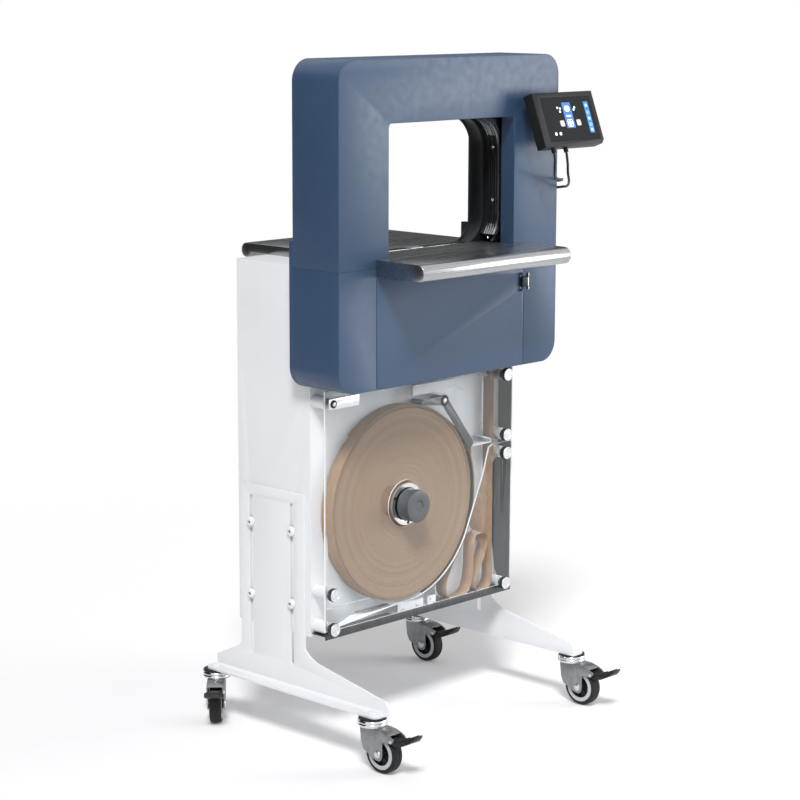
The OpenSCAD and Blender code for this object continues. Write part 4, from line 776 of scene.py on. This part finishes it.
def caster_fork(name, fork, place):
    """Pressed fork with its ball race, seal ring and axle, and the white cap over its stem."""
    plate_in, plate_t, bridge_x = 14.5, 2.5, 16.9
    centre, upward, sideways = (0, 0, 0), (0, 0, 1), (1, 0, 0)
    bm = bmesh.new()
    for side in (-1, 1):
        slab(bm, [(side * plate_in, a * FORK_UNIT, b * FORK_UNIT) for a, b in FORK_SHARES],
             (side * plate_t, 0, 0), 0.7)
    slab(bm, [(-bridge_x, a * FORK_UNIT, b * FORK_UNIT) for a, b in BRIDGE_SHARES],
         (2 * bridge_x, 0, 0), 0.7)
    ringed(bm, [(5.5, 80), (5.5, 104.4)], centre, upward, 24)
    made(bm, fork + "_pressed", zinc_plating, fork, "zinc", fork, place=place)
    bm = bmesh.new()
    ringed(bm, [(8.4, 105), (8.4, 106.2), (7.6, 107.2), (5, 108), (2, 108.3)], centre, upward, 32)
    foot = name.split("_")[1] + "_foot"
    made(bm, name + "_stem_cap", white_coat, foot, "white_paint", place=place)
    bm = bmesh.new()
    ringed(bm, [(22, 83.6), (26.4, 84.2), (27.8, 86.2), (28, 88.2), (27, 90), (26.6, 90.6),
                (27.2, 91.4), (28, 93), (27.7, 95), (26.2, 96.6), (22, 97)], centre, upward, 64)
    made(bm, fork + "_race", chrome, fork, "zinc", place=place)
    bm = bmesh.new()
    ringed(bm, [(25, 96.6), (26, 97.2), (26, 99.2), (25, 99.7)], centre, upward, 48)
    made(bm, fork + "_seal_ring", black_moulding, fork, "black_plastic", place=place)
    plate_out = plate_in + plate_t
    bm = bmesh.new()
    for side in (-1, 1):
        ringed(bm, [(7, 0), (7, 1.4), (6.4, 2.3), (4.6, 3), (2, 3.2)],
               (side * plate_out, WHEEL[1], WHEEL[2]), (side, 0, 0), 32)
        ringed(bm, [(3.4, 0), (3.4, 0.8), (2.8, 1.2)], (side * plate_out, -62, 69), (side, 0, 0), 24)
    ringed(bm, [(4, -plate_out), (4, plate_out)], WHEEL, sideways, 24)
    made(bm, fork + "_axle", knob_metal, fork, "zinc", place=place)


def caster_wheel(wheel, place):
    """Grey rim whose ribbed recess is painted black as shade, and its black tyre."""
    painted_shade_from, painted_shade_to, ribs = 9.5, 21.9, 6
    sideways = (1, 0, 0)
    half_rim = [(4.1, 13.6), (9.2, 13.6), (10, 12.8), (10, 5.8), (20.6, 5.2), (21.6, 6),
                (22.2, 10.8), (23, 11.8), (29.4, 11.8), (30.2, 11), (30.2, 9.6), (28, 9.4)]
    half_tread = [(28.1, 9.3), (30.4, 9.5), (31.2, 11.4), (33.2, 11.8), (35.6, 10.6), (37, 8),
                  (37.5, 4.8), (37.5, 0.9)]
    bm = bmesh.new()
    turned(bm, half_rim + [(r, -h) for r, h in reversed(half_rim)], WHEEL, sideways, 72)
    for k in range(ribs):
        before = set(bm.verts)
        block(bm, (-9.4, -1.1, 9), (9.4, 1.1, 22), 0.3, 1)
        turn = Matrix.Rotation(radians(360 / ribs * k + 15), 4, "X")
        placed(bm, before, Matrix.Translation(WHEEL) @ turn)
    # Painted shade: the recess and its ribs take the black moulding, as the recess falls dark.
    for face in bm.faces:
        reach = (face.calc_center_median() - Vector(WHEEL)).yz.length
        face.material_index = 1 if painted_shade_from < reach < painted_shade_to else 0
    made(bm, wheel + "_rim", [rim_moulding, black_moulding], wheel, "grey_plastic", wheel,
         place=place)
    bm = bmesh.new()
    turned(bm, half_tread + [(37.1, 0)] + [(r, -h) for r, h in reversed(half_tread)], WHEEL,
           sideways, 96)
    made(bm, wheel + "_tyre", tyre_rubber, wheel, "wheel", place=place)


# Touch panel and door latch

def touch_panel():
    """Panel housing, its screen, and plain lit shapes on the screen."""
    eased("touch_panel", black_moulding, "black_plastic", 1.6, 3)
    eased("panel_screen", screen_glass, "screen_glass", 0.3, 1)
    pin, lean_angle = (0, -23, 1153), 20.8
    lean = Matrix.Translation(pin) @ Matrix.Rotation(radians(-lean_angle), 4, "X")
    left, right, low, high, glass = 199, 347, -43.9, 43.1, -31.68

    def spot(u, v):
        """Place on the screen of shares from its left and top."""
        return left + (right - left) * u, high - (high - low) * v

    def tile(bm, u, v, w, h, lift=0.16, corner=0.0):
        x, z = spot(u, v)
        before = set(bm.verts)
        slab(bm, [(x - w / 2, glass, z - h / 2), (x + w / 2, glass, z - h / 2),
                  (x + w / 2, glass, z + h / 2), (x - w / 2, glass, z + h / 2)], (0, -lift, 0))
        if corner:
            fresh = [vert for vert in bm.verts if vert not in before]
            ease_edges(bm, [edge for edge in {e for vert in fresh for e in vert.link_edges}
                            if abs((edge.verts[0].co - edge.verts[1].co).y) > lift / 2], corner, 4)

    def dot(bm, u, v, r, lift=0.2):
        x, z = spot(u, v)
        ringed(bm, [(r, 0), (r, lift), (r * 0.9, lift + 0.03)], (x, glass + 0.02, z), FORWARD, 24)

    bm = bmesh.new()
    tile(bm, 0.485, 0.42, 25, 51)
    tile(bm, 0.885, 0.49, 13.5, 63)
    made(bm, "screen_blue_bars", screen_blue, "touch_panel", "screen_glass", place=lean)
    bm = bmesh.new()
    for v in (0.22, 0.38, 0.52, 0.66, 0.78):
        tile(bm, 0.885, v, 9.5, 7.5, 0.2, 2)
    made(bm, "screen_sky_tiles", screen_sky, "touch_panel", "screen_glass", place=lean)
    bm = bmesh.new()
    tile(bm, 0.485, 0.27, 15, 12, 0.22, 5)
    tile(bm, 0.485, 0.44, 14, 3.4, 0.22, 1)
    tile(bm, 0.485, 0.6, 17, 15, 0.22, 4.5)
    for u, v in ((0.3, 0.24), (0.35, 0.26), (0.335, 0.33), (0.615, 0.3), (0.64, 0.25)):
        tile(bm, u, v, 5, 4.2, 0.2, 1.6)
    for u in (0.145, 0.235):
        dot(bm, u, 0.83, 3.4)
    for v in (0.22, 0.52, 0.78):
        dot(bm, 0.885, v, 2, 0.26)
    made(bm, "screen_white_shapes", screen_white, "touch_panel", "screen_glass", place=lean)
    bm = bmesh.new()
    for u in (0.325, 0.655):
        tile(bm, u, 0.6, 12.5, 12, 0.2, 2.6)
    made(bm, "screen_grey_tiles", screen_grey, "touch_panel", "screen_glass", place=lean)
    bm = bmesh.new()
    for du in (-0.028, 0.028):
        for dv in (-0.045, 0.045):
            tile(bm, 0.485 + du, 0.6 + dv, 3.6, 3.2, 0.26, 0.8)
    made(bm, "screen_dark_squares", screen_glass, "touch_panel", "screen_glass", place=lean)


def door_latch():
    """Black latch block on its pin, with a light grip strip."""
    bm = bmesh.new()
    block(bm, (192, -7.5, 840.4), (213.6, -1.6, 859.6), 1.6, 3)
    ringed(bm, [(1.5, 836.2), (1.5, 863.8)], (194.5, -4.5, 0), (0, 0, 1), 20)
    made(bm, "door_latch_body", black_coat, "door_latch", "black_plastic", "door_latch")
    bm = bmesh.new()
    block(bm, (207.6, -8.1, 841.6), (209.8, -7.2, 858.4), 0.3, 1)
    made(bm, "door_latch_grip", knob_metal, "door_latch", "aluminium")


# Studio

def facing(spot, aim):
    """Place at spot whose back looks at aim, as a lamp does."""
    way = Vector(aim) - Vector(spot)
    return Matrix.Translation(spot) @ way.to_track_quat("-Z", "Y").to_matrix().to_4x4()


def stage_sheet(name, finish, bm):
    """A flat sheet of the studio, which isn't part of the machine."""
    mesh = bpy.data.meshes.new(name)
    bm.to_mesh(mesh)
    bm.free()
    mesh.materials.append(finish)
    sheet = bpy.data.objects.new(name, mesh)
    bpy.context.scene.collection.objects.link(sheet)
    return sheet


def seen_directly(tree):
    """1 where the camera sees a point, straight, mirrored or through glass, and 0 for light."""
    rays = tree.nodes.new("ShaderNodeLightPath")
    value = rays.outputs["Is Camera Ray"]
    for kind in ("Is Glossy Ray", "Is Transmission Ray"):
        either = tree.nodes.new("ShaderNodeMath")
        either.operation = "MAXIMUM"
        tree.links.new(value, either.inputs[0])
        tree.links.new(rays.outputs[kind], either.inputs[1])
        value = either.outputs["Value"]
    return value


def floor():
    """Pale floor that keeps the machine's shadow and goes to white further out."""
    bm = bmesh.new()
    bmesh.ops.create_grid(bm, x_segments=8, y_segments=8, size=14)
    finish = new_finish("studio_floor", (0.9, 0.9, 0.91), 0.7, **{"Specular_IOR_Level": 0.1})
    stage_sheet("studio_floor", finish, bm)
    tree = finish.node_tree
    place = tree.nodes.new("ShaderNodeTexCoord")
    reach = tree.nodes.new("ShaderNodeVectorMath")
    reach.operation = "LENGTH"
    far = tree.nodes.new("ShaderNodeMapRange")
    for socket, value in (("From Min", 0.6), ("From Max", 2.4), ("To Min", 0.06), ("To Max", 1.0)):
        far.inputs[socket].default_value = value
    glow = tree.nodes.new("ShaderNodeEmission")
    glow.inputs["Color"].default_value = (1, 1, 1, 1)
    share = tree.nodes.new("ShaderNodeMath")
    share.operation = "MULTIPLY"
    mix = tree.nodes.new("ShaderNodeMixShader")
    link = tree.links.new
    link(place.outputs["Object"], reach.inputs[0])
    link(reach.outputs["Value"], far.inputs["Value"])
    link(seen_directly(tree), share.inputs[0])
    link(far.outputs["Result"], share.inputs[1])
    link(share.outputs["Value"], mix.inputs["Fac"])
    link(tree.nodes["Principled BSDF"].outputs["BSDF"], mix.inputs[1])
    link(glow.outputs["Emission"], mix.inputs[2])
    link(mix.outputs["Shader"], tree.nodes["Material Output"].inputs["Surface"])


def lamps():
    """Soft lamp at the right front, and a softened sun from the front left."""
    softbox = bpy.data.lights.new("right_softbox", "AREA")
    softbox.shape, softbox.size, softbox.size_y, softbox.energy = "RECTANGLE", 1.7, 1.6, 50
    key = bpy.data.lights.new("front_left_key", "SUN")
    key.energy, key.angle = 2.5, radians(13)
    for lamp, spot, aim in ((softbox, (2.5, -2.1, 1.25), (0, 0, 0.9)),
                            (key, (-1.86, -1.7, 3.1), (0, 0, 0))):
        holder = bpy.data.objects.new(lamp.name, lamp)
        bpy.context.scene.collection.objects.link(holder)
        holder.matrix_world = facing(spot, aim)


def dark_cards():
    """Two black cards that only reflections see, so that side faces and tables stay deep."""
    card_black = coated("studio_card_black", (0.02, 0.02, 0.02), (0.03, 0.03, 0.03), 0.8, 0.1)
    for name, spot, aim, width, height in (
            ("left_dark_card", (-1.8, 1.5, 1.1), (0, 0, 0.8), 3.0, 2.6),
            ("rear_dark_card", (1.7, 1.8, 1.55), (0, 0, 0.95), 3.0, 1.3)):
        bm = bmesh.new()
        bmesh.ops.create_grid(bm, x_segments=4, y_segments=4, size=0.5)
        placed(bm, set(), facing(spot, aim) @ Matrix.Diagonal((width, height, 1, 1)))
        card = stage_sheet(name, card_black, bm)
        card.visible_camera = card.visible_diffuse = card.visible_shadow = False
        card.visible_transmission = False


def surround():
    """White background, and soft even light from all round."""
    world = bpy.data.worlds.new("studio_surround")
    bpy.context.scene.world = world
    world.use_nodes = True
    tree = world.node_tree
    back = tree.nodes["Background"]
    back.inputs["Color"].default_value = (1, 1, 1, 1)
    level = tree.nodes.new("ShaderNodeMapRange")
    level.inputs["To Min"].default_value = 0.42
    level.inputs["To Max"].default_value = 1.0
    tree.links.new(seen_directly(tree), level.inputs["Value"])
    tree.links.new(level.outputs["Result"], back.inputs["Strength"])


place_camera()
panel_leads()
sheet_metal()
plain_nodes()
foot_bolts()
guide_fasteners()
small_trim()
cover_knobs()
reel_parts()
wound_roll()
folded_band()
for caster_name, caster_x, caster_y, caster_turn in (
        ("front_left", -284.2, -70, 0), ("front_right", 284.2, -70, 0),
        ("rear_left", -284.2, 358, -45), ("rear_right", 284.2, 358, 0)):
    caster(caster_name, caster_x, caster_y, caster_turn)
touch_panel()
door_latch()
floor()
lamps()
dark_cards()
surround()
